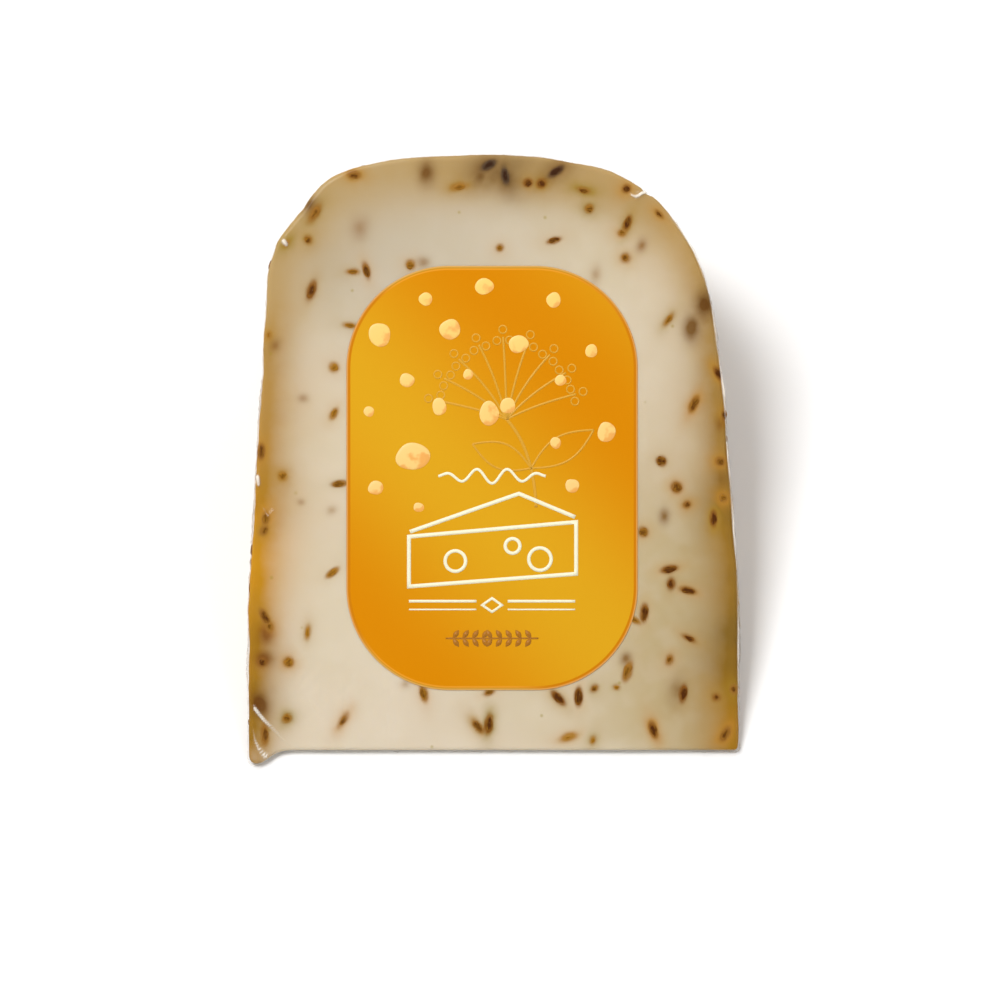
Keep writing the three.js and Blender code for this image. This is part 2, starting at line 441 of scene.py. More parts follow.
NICK = (31.6, 114.2, 0)  # a small nick in the shoulder: across, up and out, in millimetres


def rind_lumps(points, on_rind):
    """How far the rind bulges out and in: three ripples, fading towards the nose, less exp(-distance^2) for
    the nick at the shoulder."""
    nose = np.hypot(points[:, 1] - AXIS_Y, points[:, 2] - AXIS_Z) - NOSE_RADIUS
    lumps = 0.20 * ripple(points, 17 * MM, 5) + 0.10 * ripple(points, 6 * MM, 7)
    lumps += 0.05 * ripple(points * [1, 1, 0.2], 2.6 * MM, 9)
    away = (off_front(points) / MM - NICK) / [0.8, 0.8, 5]
    lumps -= 0.9 * np.exp(-(away**2).sum(axis=1))
    return lumps * MM * on_rind * smooth_step(0.5 * MM, 3 * MM, nose)


def ear(points):
    """How far the nose's left corner is drawn out, towards -Y: most at the corner, fading along the nose
    and up the cut face."""
    across, up = points[:, 0] / MM, (points[:, 1] - AXIS_Y - NOSE_RADIUS) / MM
    along_nose = np.exp(-(((across + 48.4) / 3.3) ** 2))
    return 3.2 * MM * along_nose * np.exp(-np.maximum(up, 0) / 3.2)


# ---------- Seeds ----------
# How each seed of the CAD model looks, in the order of their names: how golden it is, from nearly black at
# -1 and dark brown at 0 to golden at 1, and how softly it shows through the surface.
LONG_LOOKS = [
    (0.1, 0.6), (0.3, 0.3), (0.6, 0.3), (0.7, 0.6), (-1, 0.5), (-0.8, 0.3), (0.5, 0.2), (0.2, 0.2),
    (0.25, 0.1), (0.7, 0.4), (0.4, 0.2), (0.1, 0.1), (0.2, 0.1), (0.2, 0.3), (0.8, 0.3), (0.1, 0.4),
    (0.6, 0.7), (0, 0.2), (0.1, 0.1), (0, 0.3), (0.1, 0.3), (0.2, 0.3), (0.3, 0.2), (0.5, 0.7), (0.4, 0.5),
    (0.9, 0.5), (0.3, 0.3), (0.6, 0.4), (0.8, 0.3), (0.5, 0.2), (0.8, 0.3), (0, 0.2), (1, 1), (0.5, 1),
]
ROUND_LOOKS = [
    (0.4, 0.2), (0.7, 0.3), (0.9, 0.5), (0.1, 0.1), (0.15, 0.1), (0.6, 0.2), (0.1, 0.2), (0.5, 0.6),
    (0.3, 0.1), (0.4, 0.2), (0.3, 0.3), (0.5, 0.2), (0.7, 0.3), (0.8, 0.2), (0.6, 0.2), (0.7, 0.2),
    (0.1, 0.3),
]
# More seeds on the front cut face, in millimetres: across, up, length, width and turn in degrees,
# anticlockwise from across, and the same two numbers for the look.
MORE_SEEDS = [
    (-28.5, 117.6, 2.2, 1.4, -8, 0.3, 0.6), (-1, 119.6, 3, 1.5, 30, -1, 0.4),
    (26.3, 105.8, 1.1, 1, 0, 0.6, 0.2), (33.9, 109.6, 1.6, 0.7, -45, 0.3, 0.2),
    (46, 77, 2.6, 1.3, -60, 0, 0.3), (47.3, 68.5, 2, 1, 88, 0.3, 0.2), (49.2, 12.4, 1.5, 1.3, 80, 0.5, 0.4),
    (47.4, 3.2, 3, 1.5, 60, 0.4, 0.6), (-42.3, 103.6, 1.2, 0.7, 50, 0.8, 0.2),
    (-46, 84.8, 1.2, 0.8, 80, 0.9, 0.3), (-47.6, 61, 3, 1.5, 88, 0.3, 0.4),
    (-46.6, 47.3, 2.6, 1.4, 84, 0.6, 0.4), (-46.9, 44.9, 1.8, 1.2, 60, 0.5, 0.4),
    (1.3, 102.7, 1.1, 1, 0, 0.6, 0.2), (39.6, 50.2, 1.2, 1, 30, 0.2, 0.3), (36, 18.4, 1.4, 1, 60, 0.4, 0.5),
    (20.6, 12.6, 1.3, 1, 40, 0.5, 0.2), (25.2, 12.8, 1.1, 0.8, 0, 0.8, 0.2),
    (20.3, 1.9, 1.2, 0.8, 70, 0.9, 0.2), (45.6, 10.7, 1.2, 1.1, 0, 0.2, 0.6),
    (-0.9, 11.8, 1.7, 1, 20, 0.5, 0.4), (-45.9, 25.2, 1.6, 1.2, 100, 0.6, 0.5),
    (-32.6, 68.8, 2, 1, 60, 0.8, 0.3), (36.3, 34, 2, 1.4, 84, 0, 0.5),
]
# Seeds just under the surface, which show as blurs: the same numbers as far as the turn, how strongly each
# one shows, and how dark it is, from reddish brown at 0.
BURIED_SEEDS = [
    (-13.7, 118, 3.6, 2.4, 90, 0.7, 0.8), (-27.3, 106.6, 3.4, 2.6, 80, 0.5, 0),
    (-14.4, 99.7, 2, 1.6, 0, 0.55, 0.2), (-44.6, 82.8, 1.8, 1.4, 60, 0.5, 0.3),
    (-38.9, 71.9, 1.6, 1.3, 0, 0.5, 0.3), (30.3, 103.2, 2.2, 1.5, 70, 0.6, 0.2),
    (20.9, 97.2, 2.8, 1.7, 85, 0.45, 0.1), (40.5, 86.4, 3.8, 2.4, 84, 0.85, 0.9),
    (43.1, 90.8, 4.4, 3, 80, 0.75, 1), (34.9, 47.8, 2.4, 1.6, 88, 0.7, 0.6),
    (27, 18.6, 1.9, 1.5, 50, 0.7, 0.5), (-46.6, 23.6, 3.2, 2.2, 95, 0.7, 0.3),
    (-18, 13.5, 1.5, 1.3, 0, 0.45, 0.3), (-33.1, 49, 1.6, 1.3, 30, 0.45, 0.2),
    (-39.3, 50.7, 1.2, 1, 0, 0.45, 0.3), (-2.6, 117.4, 3.6, 2.4, 60, 0.55, 1), (1, 118, 8, 4, 20, 0.45, 1),
    (-47.9, 9.6, 3.4, 2.4, 120, 0.9, 0.6), (46.6, 55.4, 2.8, 2, 85, 0.25, 0.3),
    (-37.6, 111.4, 2.8, 2, 60, 0.6, 0.9), (37.5, 12, 4.2, 2.6, 80, 0.4, 0.6),
    (-46.9, 18.6, 2.6, 2.4, 0, 0.75, 0.6), (46.4, 66.6, 2.4, 1.8, 80, 0.4, 0.3),
    (-1.6, 119.2, 6, 3.6, 25, 0.55, 1), (2.6, 117.4, 6, 4, -70, 0.55, 1),
    (12.9, 118.6, 6, 3.4, 30, 0.45, 1),
]
LONG_SLENDER = 0.44  # width over length of a long seed
ROUND_SLENDER = 1.0


def bared_seeds(kind, slender, looks):
    """The seeds of one kind that the CAD model holds, as rows of across, up, length, width, turn and look.
    The two corners of a seed's solid that lie furthest apart are its ends."""
    rows = []
    names = sorted(name for name in frame["nodes"] if name.startswith(kind))
    for name, look in zip(names, looks):
        places = off_front(corners_of(name))[:, :2]
        apart = np.linalg.norm(places[:, None] - places[None], axis=2)
        one, other = np.unravel_index(apart.argmax(), apart.shape)
        step = places[other] - places[one]
        length = apart[one, other]
        turn = math.atan2(step[1], step[0])
        rows.append([*(places[one] + places[other]) / 2, length, slender * length, turn, *look])
    return names, np.array(rows)


def listed_seeds(rows):
    """Rows in millimetres and degrees as rows in metres and radians."""
    return np.array(rows) * [MM, MM, MM, MM, math.pi / 180, 1, 1]


def seed_template(around, along):
    """A seed one unit long and wide, as rings from end to end: the place along it, the ring's share of the
    width, and two shares for across and deep."""
    t = -np.cos(np.linspace(0, math.pi, along + 2)[1:-1])
    angle = np.arange(around) * 2 * math.pi / around
    rings = np.stack(np.broadcast_arrays(t[:, None], np.cos(angle), np.sin(angle)), axis=-1).reshape(-1, 3)
    return np.vstack([rings, [-1, 0, 0], [1, 0, 0]]), ring_faces(along, around)


def seed_shapes(rows, point, template, sink=0.35, dome=0.1):
    """Seeds in their own box: the width at t along a seed is (1 - t^2) to the power point, times a slow
    random wave, and the seed's own line is bent a little. They sit sunk in the surface, and what stands
    above it is cut down to a low dome. Returns across, up and out."""
    t, side, deep = template.T
    rng = np.random.default_rng(len(rows))
    egg, bend, wave = (rng.uniform(-1, 1, (3, len(rows), 1)).T * [0.25, 0.12, math.pi]).T
    girth = np.maximum(1 - t**2, 0) ** point[:, None] * (1 + egg * t + 0.13 * np.sin(4.5 * t + wave))
    x = t * rows[:, 2, None] / 2
    y = side * girth * rows[:, 3, None] / 2 + bend * (1 - t**2) * rows[:, 3, None]
    y += 0.07 * side * np.sin(3 * np.arctan2(side, t) + 2 * wave) * rows[:, 3, None]
    z = (deep * girth - sink) * rows[:, 3, None] / 2
    z = np.where(z > 0, dome * z, z)
    c, s = np.cos(rows[:, 4, None]), np.sin(rows[:, 4, None])
    return np.stack([rows[:, 0, None] + x * c - y * s, rows[:, 1, None] + x * s + y * c, z], axis=-1)


def seed_share(places, rows, power=1):
    """How far places on a cut face lie from each seed's middle, as a share of the seed's half size, to a
    power: 1 at the seed's edge."""
    dx, dy = (places[:, None, k] - rows[None, :, k] for k in range(2))
    c, s = np.cos(rows[:, 4]), np.sin(rows[:, 4])
    return np.hypot((dx * c + dy * s) / (rows[:, 2] / 2), (dy * c - dx * s) / (rows[:, 3] / 2)) ** power


# ---------- Materials ----------
def shade(code):
    """A colour code of six hex digits as linear red, green, blue and alpha."""
    parts = [int(code[k : k + 2], 16) / 255 for k in (0, 2, 4)]
    return (*(p / 12.92 if p <= 0.04045 else ((p + 0.055) / 1.055) ** 2.4 for p in parts), 1.0)


class Wire:
    """A node's output, on which Python's operators work: each adds a Math node."""

    def __init__(self, paint, socket):
        self.paint, self.socket = paint, socket

    def math(self, operation, *values):
        return self.paint.node("Math", {"operation": operation}, values)["Value"]

    def __add__(self, other):
        return self.math("ADD", self, other)

    def __sub__(self, other):
        return self.math("SUBTRACT", self, other)

    def __rsub__(self, other):
        return self.math("SUBTRACT", other, self)

    def __mul__(self, other):
        return self.math("MULTIPLY", self, other)

    def __truediv__(self, other):
        return self.math("DIVIDE", self, other)

    def __pow__(self, other):
        return self.math("POWER", self, other)

    __radd__, __rmul__ = __add__, __mul__

    def at_most(self, other):
        return self.math("MINIMUM", self, other)

    def at_least(self, other):
        return self.math("MAXIMUM", self, other)

    def cosine(self):
        return self.math("COSINE", self)

    def smooth(self, low, high):
        """0 below low, 1 above high and a smooth step between."""
        values = {"Value": self, "From Min": low, "From Max": high}
        return self.paint.node("MapRange", {"interpolation_type": "SMOOTHSTEP"}, values)["Result"]


class Paint:
    """A material and its node tree."""

    def __init__(self, name):
        self.material = bpy.data.materials.new(name)
        self.material.use_nodes = True
        self.tree = self.material.node_tree
        self.tree.nodes.clear()
        self.output = self.tree.nodes.new("ShaderNodeOutputMaterial")

    def node(self, kind, settings=None, inputs=()):
        """Adds a node of a kind. Its settings are set first, then its sockets, to values or links, by name
        or in order. Returns its outputs by name."""
        node = self.tree.nodes.new("ShaderNode" + kind)
        for name, value in (settings or {}).items():
            setattr(node, name, value)
        sockets = [socket for socket in node.inputs if socket.enabled]
        by_name = {socket.name: socket for socket in reversed(sockets)}
        pairs = inputs.items() if isinstance(inputs, dict) else enumerate(inputs)
        for key, value in pairs:
            socket = by_name[key] if isinstance(key, str) else node.inputs[key]
            if isinstance(value, Wire):
                self.tree.links.new(value.socket, socket)
            else:
                socket.default_value = value
        return {socket.name: Wire(self, socket) for socket in node.outputs if socket.enabled}

    def place(self):
        """Object coordinates, in metres."""
        return self.node("TexCoord")["Object"]

    def number(self, name):
        """A number attribute of the mesh."""
        return self.node("Attribute", {"attribute_name": name})["Fac"]

    def parts(self, name):
        """The three numbers of a vector attribute of the mesh."""
        vector = self.node("Attribute", {"attribute_name": name})["Vector"]
        split = self.node("SeparateXYZ", None, {"Vector": vector})
        return split["X"], split["Y"], split["Z"]

    def noise(self, size, detail=2.0, stretch=None):
        """Soft noise about 0.5 whose lumps measure about size, in metres."""
        place = self.place()
        if stretch:
            place = self.node("Mapping", None, {"Vector": place, "Scale": stretch})["Vector"]
        return self.node("TexNoise", None, {"Vector": place, "Scale": 1 / size, "Detail": detail})["Fac"]

    def mix(self, factor, one, other, blend="MIX"):
        """The colour one where factor is 0, and other where it is 1."""
        settings = {"data_type": "RGBA", "blend_type": blend}
        return self.node("Mix", settings, {"Factor": factor, "A": one, "B": other})["Result"]

    def bump(self, height, distance, strength=1.0):
        values = {"Height": height, "Distance": distance, "Strength": strength}
        return self.node("Bump", None, values)["Normal"]

    def surface(self, **sockets):
        """A Principled shader. Its sockets are named with underscores for spaces."""
        named = {name.replace("_", " "): value for name, value in sockets.items()}
        return self.node("BsdfPrincipled", None, named)["BSDF"]

    def finish(self, shader):
        self.tree.links.new(shader.socket, self.output.inputs["Surface"])
        return self.material


# ---------- Settings that a user would change ----------
def colour(name, description, code):
    return FloatVectorProperty(
        name=name, description=description, subtype="COLOR", size=4, min=0, max=1, default=shade(code)
    )


def lamp_power(name, description, watts):
    return FloatProperty(name=name, description=description, default=watts, min=0, unit="POWER")


class CheeseSettings(bpy.types.PropertyGroup):
    paste: colour("Paste", "Colour of the cut paste where it is palest", "d7c8b0")
    # Partly painted shade: the paste's colour towards the lower right, where the painted shade is strongest.
    paste_deep_and_shaded: colour("Deeper paste", "Colour of the cut paste towards the lower right", "b8a277")
    edge_gold: colour("Golden edge", "Colour of the paste against the left side's rind", "c48a16")
    edge_brown: colour("Brown edge", "Colour of the paste against the right side's rind", "7c5c18")
    edge_khaki: colour("Khaki edge", "Colour of the paste against the upper rind", "b39868")
    rind: colour("Rind", "Colour of the rind", "d2aa5e")
    hull: colour("Seed hull", "Colour of a dark seed's hull", "512803")
    husk: colour("Seed husk", "Colour of a golden seed's hull", "a8741c")
    stain: colour("Stain", "Colour of the stained paste round a dark seed", "85531a")
    gold_stain: colour("Golden stain", "Colour of the stained paste round a golden seed", "a8782e")
    rind_seeds: IntProperty(name="Rind seeds", description="Seeds in the rind", default=150, min=0, max=600)


class FilmSettings(bpy.types.PropertyGroup):
    veil: FloatProperty(name="Veil", description="Share of light that the flat film scatters", default=0.001,
                        min=0, max=1, subtype="FACTOR")
    roughness: FloatProperty(name="Roughness", description="Roughness of the film's gloss", default=0.22,
                             min=0, max=1, subtype="FACTOR")
    crease_height: FloatProperty(name="Crease height", description="How high the film's creases stand",
                                 default=0.45 * MM, min=0, max=2 * MM, unit="LENGTH")


class LabelSettings(bpy.types.PropertyGroup):
    orange: colour("Orange", "Darker end of the label's gradient", "d38200")
    gold: colour("Gold", "Lighter end of the label's gradient", "d8a01a")
    band_orange: colour("Orange border", "Border beside the gradient's gold", "c87808")
    band_gold: colour("Gold border", "Border beside the gradient's orange", "c48a22")
    band_light: colour("Light border", "Thin line inside the gold border", "e2962a")
    edge_light: colour("Cut edge", "The label's pale cut edge", "f6d79a")
    print_cream: colour("Cream print", "Colour of the drawing on the label", "f4f0d0")
    spot_gold: colour("Spot gold", "Darker side of the printed spots", "eeb05c")
    corner: FloatProperty(name="Corner radius", description="Radius of the label's corners", default=21 * MM,
                          min=1 * MM, max=29 * MM, unit="LENGTH")


class StageSettings(bpy.types.PropertyGroup):
    floor: colour("Floor", "Colour of the floor", "fcfcfc")
    key_power: lamp_power("Key light", "Power of the key light", 10.5)
    fill_power: lamp_power("Fill light", "Power of the fill light", 2)
    rim_power: lamp_power("Rim light", "Power of the light behind the rim", 1.5)
    surround: FloatProperty(name="Surround", description="Strength of the light from all around",
                            default=0.68, min=0)
    opening: FloatProperty(name="Opening", description="Strength of that light round the camera's place",
                           default=0.06, min=0)


class CheeseWedgeSettings(bpy.types.PropertyGroup):
    cheese: PointerProperty(type=CheeseSettings)
    film: PointerProperty(type=FilmSettings)
    label: PointerProperty(type=LabelSettings)
    stage: PointerProperty(type=StageSettings)


# ---------- Cheese ----------
# How the paste darkens towards the rind, by direction from the middle of the cut face, anticlockwise from
# across, in degrees: how far in it reaches in millimetres, how suddenly it ends, how strong it is, how
# brown rather than golden, and how khaki.
RIND_LOOK = [
    (-62, 6, 1.6, 0.3, 0.6, 0), (-50.5, 8, 1.6, 1.05, 0.65, 0), (-44, 8, 1.6, 1.1, 0.7, 0),
    (-36, 7.5, 1.6, 1.1, 1.0, 0.05), (-24, 6.4, 1.6, 1.08, 0.75, 0.1), (-12, 7.8, 1.8, 1.08, 0.85, 0.05),
    (0, 6, 1.6, 1.08, 0.72, 0.25), (12, 7.3, 1.8, 1.05, 0.75, 0.25), (24, 6, 2.0, 1.0, 0.72, 0.45),
    (36, 6.6, 1.8, 1.0, 0.65, 0.5), (48, 8, 1.8, 0.97, 0.2, 0.76), (60, 9, 2.4, 0.97, 0.3, 0.82),
    (72, 9.9, 3.5, 1.0, 0.4, 0.85), (84, 9.9, 3.6, 1.05, 0.95, 0.68), (96, 9.7, 3.2, 1.03, 0.7, 0.76),
    (108, 10.3, 2.2, 0.95, 0.3, 0.95), (120, 10.8, 2.0, 0.95, 0.3, 0.95), (132, 9, 2.0, 0.97, 0.3, 0.88),
    (144, 8.4, 2.2, 0.95, 0.2, 0.88), (156, 7, 1.8, 1.0, 0.55, 0.4), (168, 7.7, 1.6, 1.05, 0.4, 0.35),
    (180, 6.5, 1.6, 1.08, 0.4, 0.25), (192, 8, 1.6, 1.1, 0.4, 0), (204, 7.2, 1.6, 1.1, 0, 0),
    (211, 6.8, 1.8, 1.08, 0.2, 0), (218, 6.9, 2.2, 1.05, 0.6, 0), (228, 5.8, 2.0, 1.0, 0.75, 0),
    (238, 4, 2.0, 0.3, 0.4, 0),
]
NOSE_LOOK = (233, 306)  # directions from the middle that meet the nose, which has no rind


def border_look(border):
    """Reach, suddenness, strength, brownness and khaki of the rind's colour along the border, off
    RIND_LOOK."""
    angle = directions(border)
    table = np.array(RIND_LOOK)
    look = np.array([np.interp(angle, table[:, 0] % 360, table[:, k], period=360) for k in (1, 2, 3, 4, 5)])
    at_nose = (angle > NOSE_LOOK[0] - 2.6) & (angle < NOSE_LOOK[1] + 3.4)
    return look[0] * MM, look[1], np.where(at_nose, 0, look[2]), look[3], look[4]


def rind_shades(places, border):
    """How far a place on a cut face takes the rind's colour, and how brown and how khaki that is. Each
    point of the border tints with its strength times exp(-(distance / reach)^suddenness), and the strongest
    one counts."""
    reach, sudden, strength, brown, khaki = border_look(border[::3])
    tint, brownness, khakiness = np.empty((3, len(places)))
    for part in np.array_split(np.arange(len(places)), max(1, len(places) // 2000)):
        apart = np.linalg.norm(places[part, None] - border[None, ::3], axis=2)
        each = strength * np.exp(-((apart / reach) ** sudden))
        tint[part] = each.max(axis=1)
        weight = each**6 + 1e-12
        brownness[part] = (weight * brown).sum(axis=1) / weight.sum(axis=1)
        khakiness[part] = (weight * khaki).sum(axis=1) / weight.sum(axis=1)
    return tint, brownness, khakiness


def front_seeds():
    """The names and rows of the CAD model's long seeds and of its round ones."""
    long_names, long_rows = bared_seeds("long_seed", LONG_SLENDER, LONG_LOOKS)
    round_names, round_rows = bared_seeds("round_seed", ROUND_SLENDER, ROUND_LOOKS)
    return long_names, long_rows, round_names, round_rows


def edge_nearness(places, border):
    """1 within 2 mm of the border of a cut face, and 0 from 16 mm on."""
    apart = np.linalg.norm(places[:, None] - border[None], axis=2).min(axis=1)
    return smooth_step(16 * MM, 2 * MM, apart)


def rind_marks(skin, places):
    """What the rind does to the colour of each point: on the cut faces as rind_shades has it, and on the
    rind the brownness of the border above it. The number rind is 1 where the rind itself shows."""
    tint, brown, khaki = np.zeros((3, len(places)))
    front, back = skin.turn == 0, skin.turn == 1
    tint[front], brown[front], khaki[front] = rind_shades(places[front, :2], skin.border)
    back_places = np.column_stack([skin.points[:, 0], skin.points[:, 1] - AXIS_Y - NOSE_RADIUS])
    tint[back], brown[back], khaki[back] = rind_shades(back_places[back], skin.border)
    height = np.hypot(skin.points[:, 1] - AXIS_Y, skin.points[:, 2] - AXIS_Z) - NOSE_RADIUS
    rind = skin.off_faces() * smooth_step(0.5 * MM, 2.5 * MM, height)
    side = ~front & ~back
    brown[side] = border_look(skin.border)[3][skin.around[side]]
    tint[side] = rind[side]
    return {"tint": tint, "brown": brown, "khaki": khaki, "rind": rind}


def seed_marks(places, skin):
    """What the seeds do to the paste of the front cut face, off the seed that marks a point most: its stain
    and how golden that is, the wide halo and how olive that is, and the blur of a buried seed and how murky
    that is. Each fades as exp(-(distance / reach)^power)."""
    stain, golden, halo, olive, blur, murk = np.zeros((6, len(places)))
    _, long_rows, _, round_rows = front_seeds()
    bared = np.vstack([long_rows, round_rows, listed_seeds(MORE_SEEDS)])
    buried = listed_seeds(BURIED_SEEDS)
    rng = np.random.default_rng(61)
    richness = (0.35 + 0.55 * edge_nearness(bared[:, :2], skin.border)) * rng.uniform(0.6, 1.3, len(bared))
    richness = richness * np.where(bared[:, 5] < 0, 0.2, 1)
    greenness = rng.uniform(0, 1, len(bared)) ** 2
    size = np.sqrt(bared[:, 2] * bared[:, 3])
    for part in np.array_split(np.flatnonzero(skin.turn == 0), 30):
        beyond = np.maximum(seed_share(places[part], bared) - 0.85, 0) * size / 2
        mark = np.exp(-((beyond / ((0.42 + 0.4 * bared[:, 6]) * MM)) ** 1.2))
        stain[part] = mark.max(axis=1)
        golden[part] = bared[mark.argmax(axis=1), 5]
        glow = richness * np.exp(-((beyond / (1.25 * MM)) ** 1.1))
        halo[part] = glow.max(axis=1)
        olive[part] = greenness[glow.argmax(axis=1)]
        cloud = buried[:, 5] * np.exp(-0.62 * seed_share(places[part], buried, 1.7))
        blur[part] = cloud.max(axis=1)
        murk[part] = buried[cloud.argmax(axis=1), 6]
    return {"stain": stain, "golden": golden, "halo": halo, "olive": olive, "blur": blur, "murk": murk}


def make_cheese(settings):
    """The cheese: a closed skin, fine in the band round the label, a little wavy on the cut faces and
    uneven on the rind. Its attributes hold the tint of the rind, the stains round seeds and the blurs of
    buried ones."""
    face = np.append(np.linspace(0.1, 0.55, 6), np.linspace(0.58, 1, 50))
    back = np.linspace(0.12, 1, 14)
    skin = Skin(CHEESE_POINTS, (0.0, 0.0), 0.0, FILLET, face, edge=4, rind=26, back=back)
    places = off_front(skin.points)
    points = skin.points + skin_waves(places, skin.turn)
    points[:, 1] -= CHEESE_EAR * ear(points)
    points += rind_lumps(skin.points, skin.on_rind())[:, None] * skin.normal[skin.around]
    attributes = {
        **rind_marks(skin, places),
        **seed_marks(places[:, :2], skin),
        # The paste's tone together with painted shade towards the lower right.
        "deepness": np.where(skin.turn < 0.5, deepness(places), 0.3),
        "grey": smooth_step(68 * MM, 106 * MM, places[:, 1]) * smooth_step(38 * MM, -28 * MM, places[:, 0]),
    }
    obj = make_object("cheese_wedge", points, *skin.faces, "cheese_paste", attributes)
    obj.data.materials.append(cheese_material(settings))
    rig.replaces(obj, "cheese")
    return obj


def deepness(places):
    """How dark the paste is made, from the pale lower left to the lower right: partly the paste's own tone and partly
    painted shade, as if the light fell off towards the lower right. It is the sum of soft steps and of a round patch
    at the upper left, less dark along the nose."""
    across, up = places[:, 0] / MM, places[:, 1] / MM
    low = smooth_step(78, 40, up)
    lower_right = smooth_step(2, 44, across) * smooth_step(80, 20, up)
    patch = np.exp(-(((across + 35) / 9) ** 2) - ((up - 98) / 11) ** 2)
    deep = 0.02 + 0.8 * lower_right + 0.2 * smooth_step(-30, 30, across) * low + 0.45 * patch
    deep += 0.13 * smooth_step(15, 60, up) + 0.24 * smooth_step(86, 114, up)
    deep += 0.12 * smooth_step(20, 42, across)
    return np.clip(deep * (1 - 0.7 * np.exp(-np.maximum(up, 0) / 1.5) * smooth_step(40, 20, across)), 0, 1)


def stain_colour(p, golden, settings):
    """The colour of the stained paste round a seed, by how golden the seed is."""
    stain = p.mix(golden, settings.stain, settings.gold_stain)
    return p.mix((-1 * golden).at_least(0), stain, shade("54402c"))


def cheese_material(settings):
    """Cut paste that turns golden or brown towards the rind, in uneven steps, with soft stains round the
    seeds and faint flecks, and a mottled satin rind."""
    p = Paint("cheese")
    cloudy = p.noise(14 * MM, 3) - 0.5
    fine = p.noise(3.2 * MM, 3) - 0.5
    tint = (p.number("tint") * (1.04 + 0.4 * cloudy + 0.2 * fine)).at_most(1).at_least(0)
    brown = (p.number("brown") + 0.6 * cloudy).at_most(1).at_least(0)
    edge = p.mix(brown, settings.edge_gold, settings.edge_brown)
    edge = p.mix(p.number("khaki"), edge, settings.edge_khaki)
    # Painted shade: the paste darkens towards the lower right, partly its own deeper tone and partly light falling
    # off.
    toned_shade = (p.number("deepness") + 0.4 * cloudy).at_most(1).at_least(0)
    paste = p.mix(toned_shade, settings.paste, settings.paste_deep_and_shaded)
    paste = p.mix(0.16 * p.noise(24 * MM).smooth(0.35, 0.65), paste, shade("c9bf98"))
    paste = p.mix(0.16 * p.noise(7 * MM).smooth(0.4, 0.7), paste, shade("e6dccb"))
    paste = p.mix(0.5 * p.number("grey"), paste, shade("b0a696"))
    paste = p.mix(tint, paste, edge)

    flecks = p.node("TexVoronoi", {"feature": "F1"}, {"Vector": p.place(), "Scale": 1 / (5.5 * MM)})
    split = p.node("SeparateColor", None, {"Color": flecks["Color"]})
    rare = split["Red"].smooth(0.62, 0.66)
    paste = p.mix(0.5 * rare * (1 - flecks["Distance"].smooth(0.03, 0.10)), paste, shade("a08a35"))
    gold_stain = p.mix(p.number("olive"), shade("b9822c"), shade("957a22"))
    paste = p.mix((p.number("halo") * (1 + 1.5 * fine)).at_most(0.8).at_least(0), paste, gold_stain)
    blur = (p.number("blur") * (1.6 + 1.4 * fine)).at_most(1).at_least(0)
    paste = p.mix(blur, paste, p.mix(p.number("murk"), shade("d0b496"), shade("a08252")), "MULTIPLY")
    stain = stain_colour(p, p.number("golden"), settings)
    paste = p.mix(0.9 * (p.number("stain") * (1 + 1.0 * fine)).smooth(0.1, 0.95), paste, stain)

    cells = {"Vector": p.place(), "Scale": 1 / (6.5 * MM), "Smoothness": 0.4}
    shadow = 1 - p.node("TexVoronoi", {"feature": "SMOOTH_F1"}, cells)["Distance"].smooth(0.1, 0.42)
    mottle = p.mix((0.5 + 1.6 * cloudy).at_most(1).at_least(0), settings.rind, shade("bb8b42"))
    mottle = p.mix(0.4 * brown, mottle, settings.edge_brown)
    mottle = p.mix(0.55 * shadow * split["Green"].smooth(0.4, 0.6), mottle, shade("7a4e1c"))
    base = p.mix(p.number("rind"), paste, mottle)

    grain = p.noise(1.1 * MM, 4)
    rough = 0.5 + 0.14 * grain
    normal = p.bump(0.5 * grain + 0.5 * fine, 0.1 * MM, 0.4)
    return p.finish(p.surface(
        Base_Color=base, Roughness=rough, Normal=normal, Subsurface_Weight=0.2,
        Subsurface_Radius=(1.0, 0.75, 0.45), Subsurface_Scale=1.2 * MM, Specular_IOR_Level=0.08,
    ))


# ---------- Seed pieces ----------
FINE_SEED = (12, 8)  # corners round a seed and rings along it
COARSE_SEED = (8, 5)


def seed_attributes(template, rows):
    """Per seed and point: the place along and beside the seed, how golden it is, how soft, and a number of
    its own."""
    t, side, _ = (np.tile(column, (len(rows), 1)) for column in template.T)
    girth = np.sqrt(np.maximum(1 - t**2, 0))
    own = np.random.default_rng(len(rows)).uniform(0, 9, len(rows))
    return {
        "heart": np.stack([t, side * girth, np.zeros_like(t)], axis=-1).reshape(-1, 3),
        "look": np.repeat(np.column_stack([rows[:, 5:7], own]), len(template), axis=0),
    }


def make_seeds(name, rows, point, nodes, place=on_front, detail=FINE_SEED):
    """One piece of many seeds, each a spindle or ball whose top is cut nearly flush with the surface. On the
    front cut face they follow its waves, its rounded edge and the small ear at the nose."""
    template, faces = seed_template(*detail)
    shapes = seed_shapes(rows, point, template)
    across, up, out = np.moveaxis(shapes, -1, 0)
    if place is on_front:
        out = out + face_wave(shapes) - edge_drop(shapes, cut_border(CHEESE_POINTS), FILLET)
    points = place(across, up, out + 0.02 * MM).reshape(-1, 3)
    if place is on_front:
        points[:, 1] -= CHEESE_EAR * ear(points)
    faces = several(shapes, faces)
    obj = make_object(name, points, *faces, "seed_hull", seed_attributes(template, rows))
    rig.replaces(obj, *nodes)
    return obj


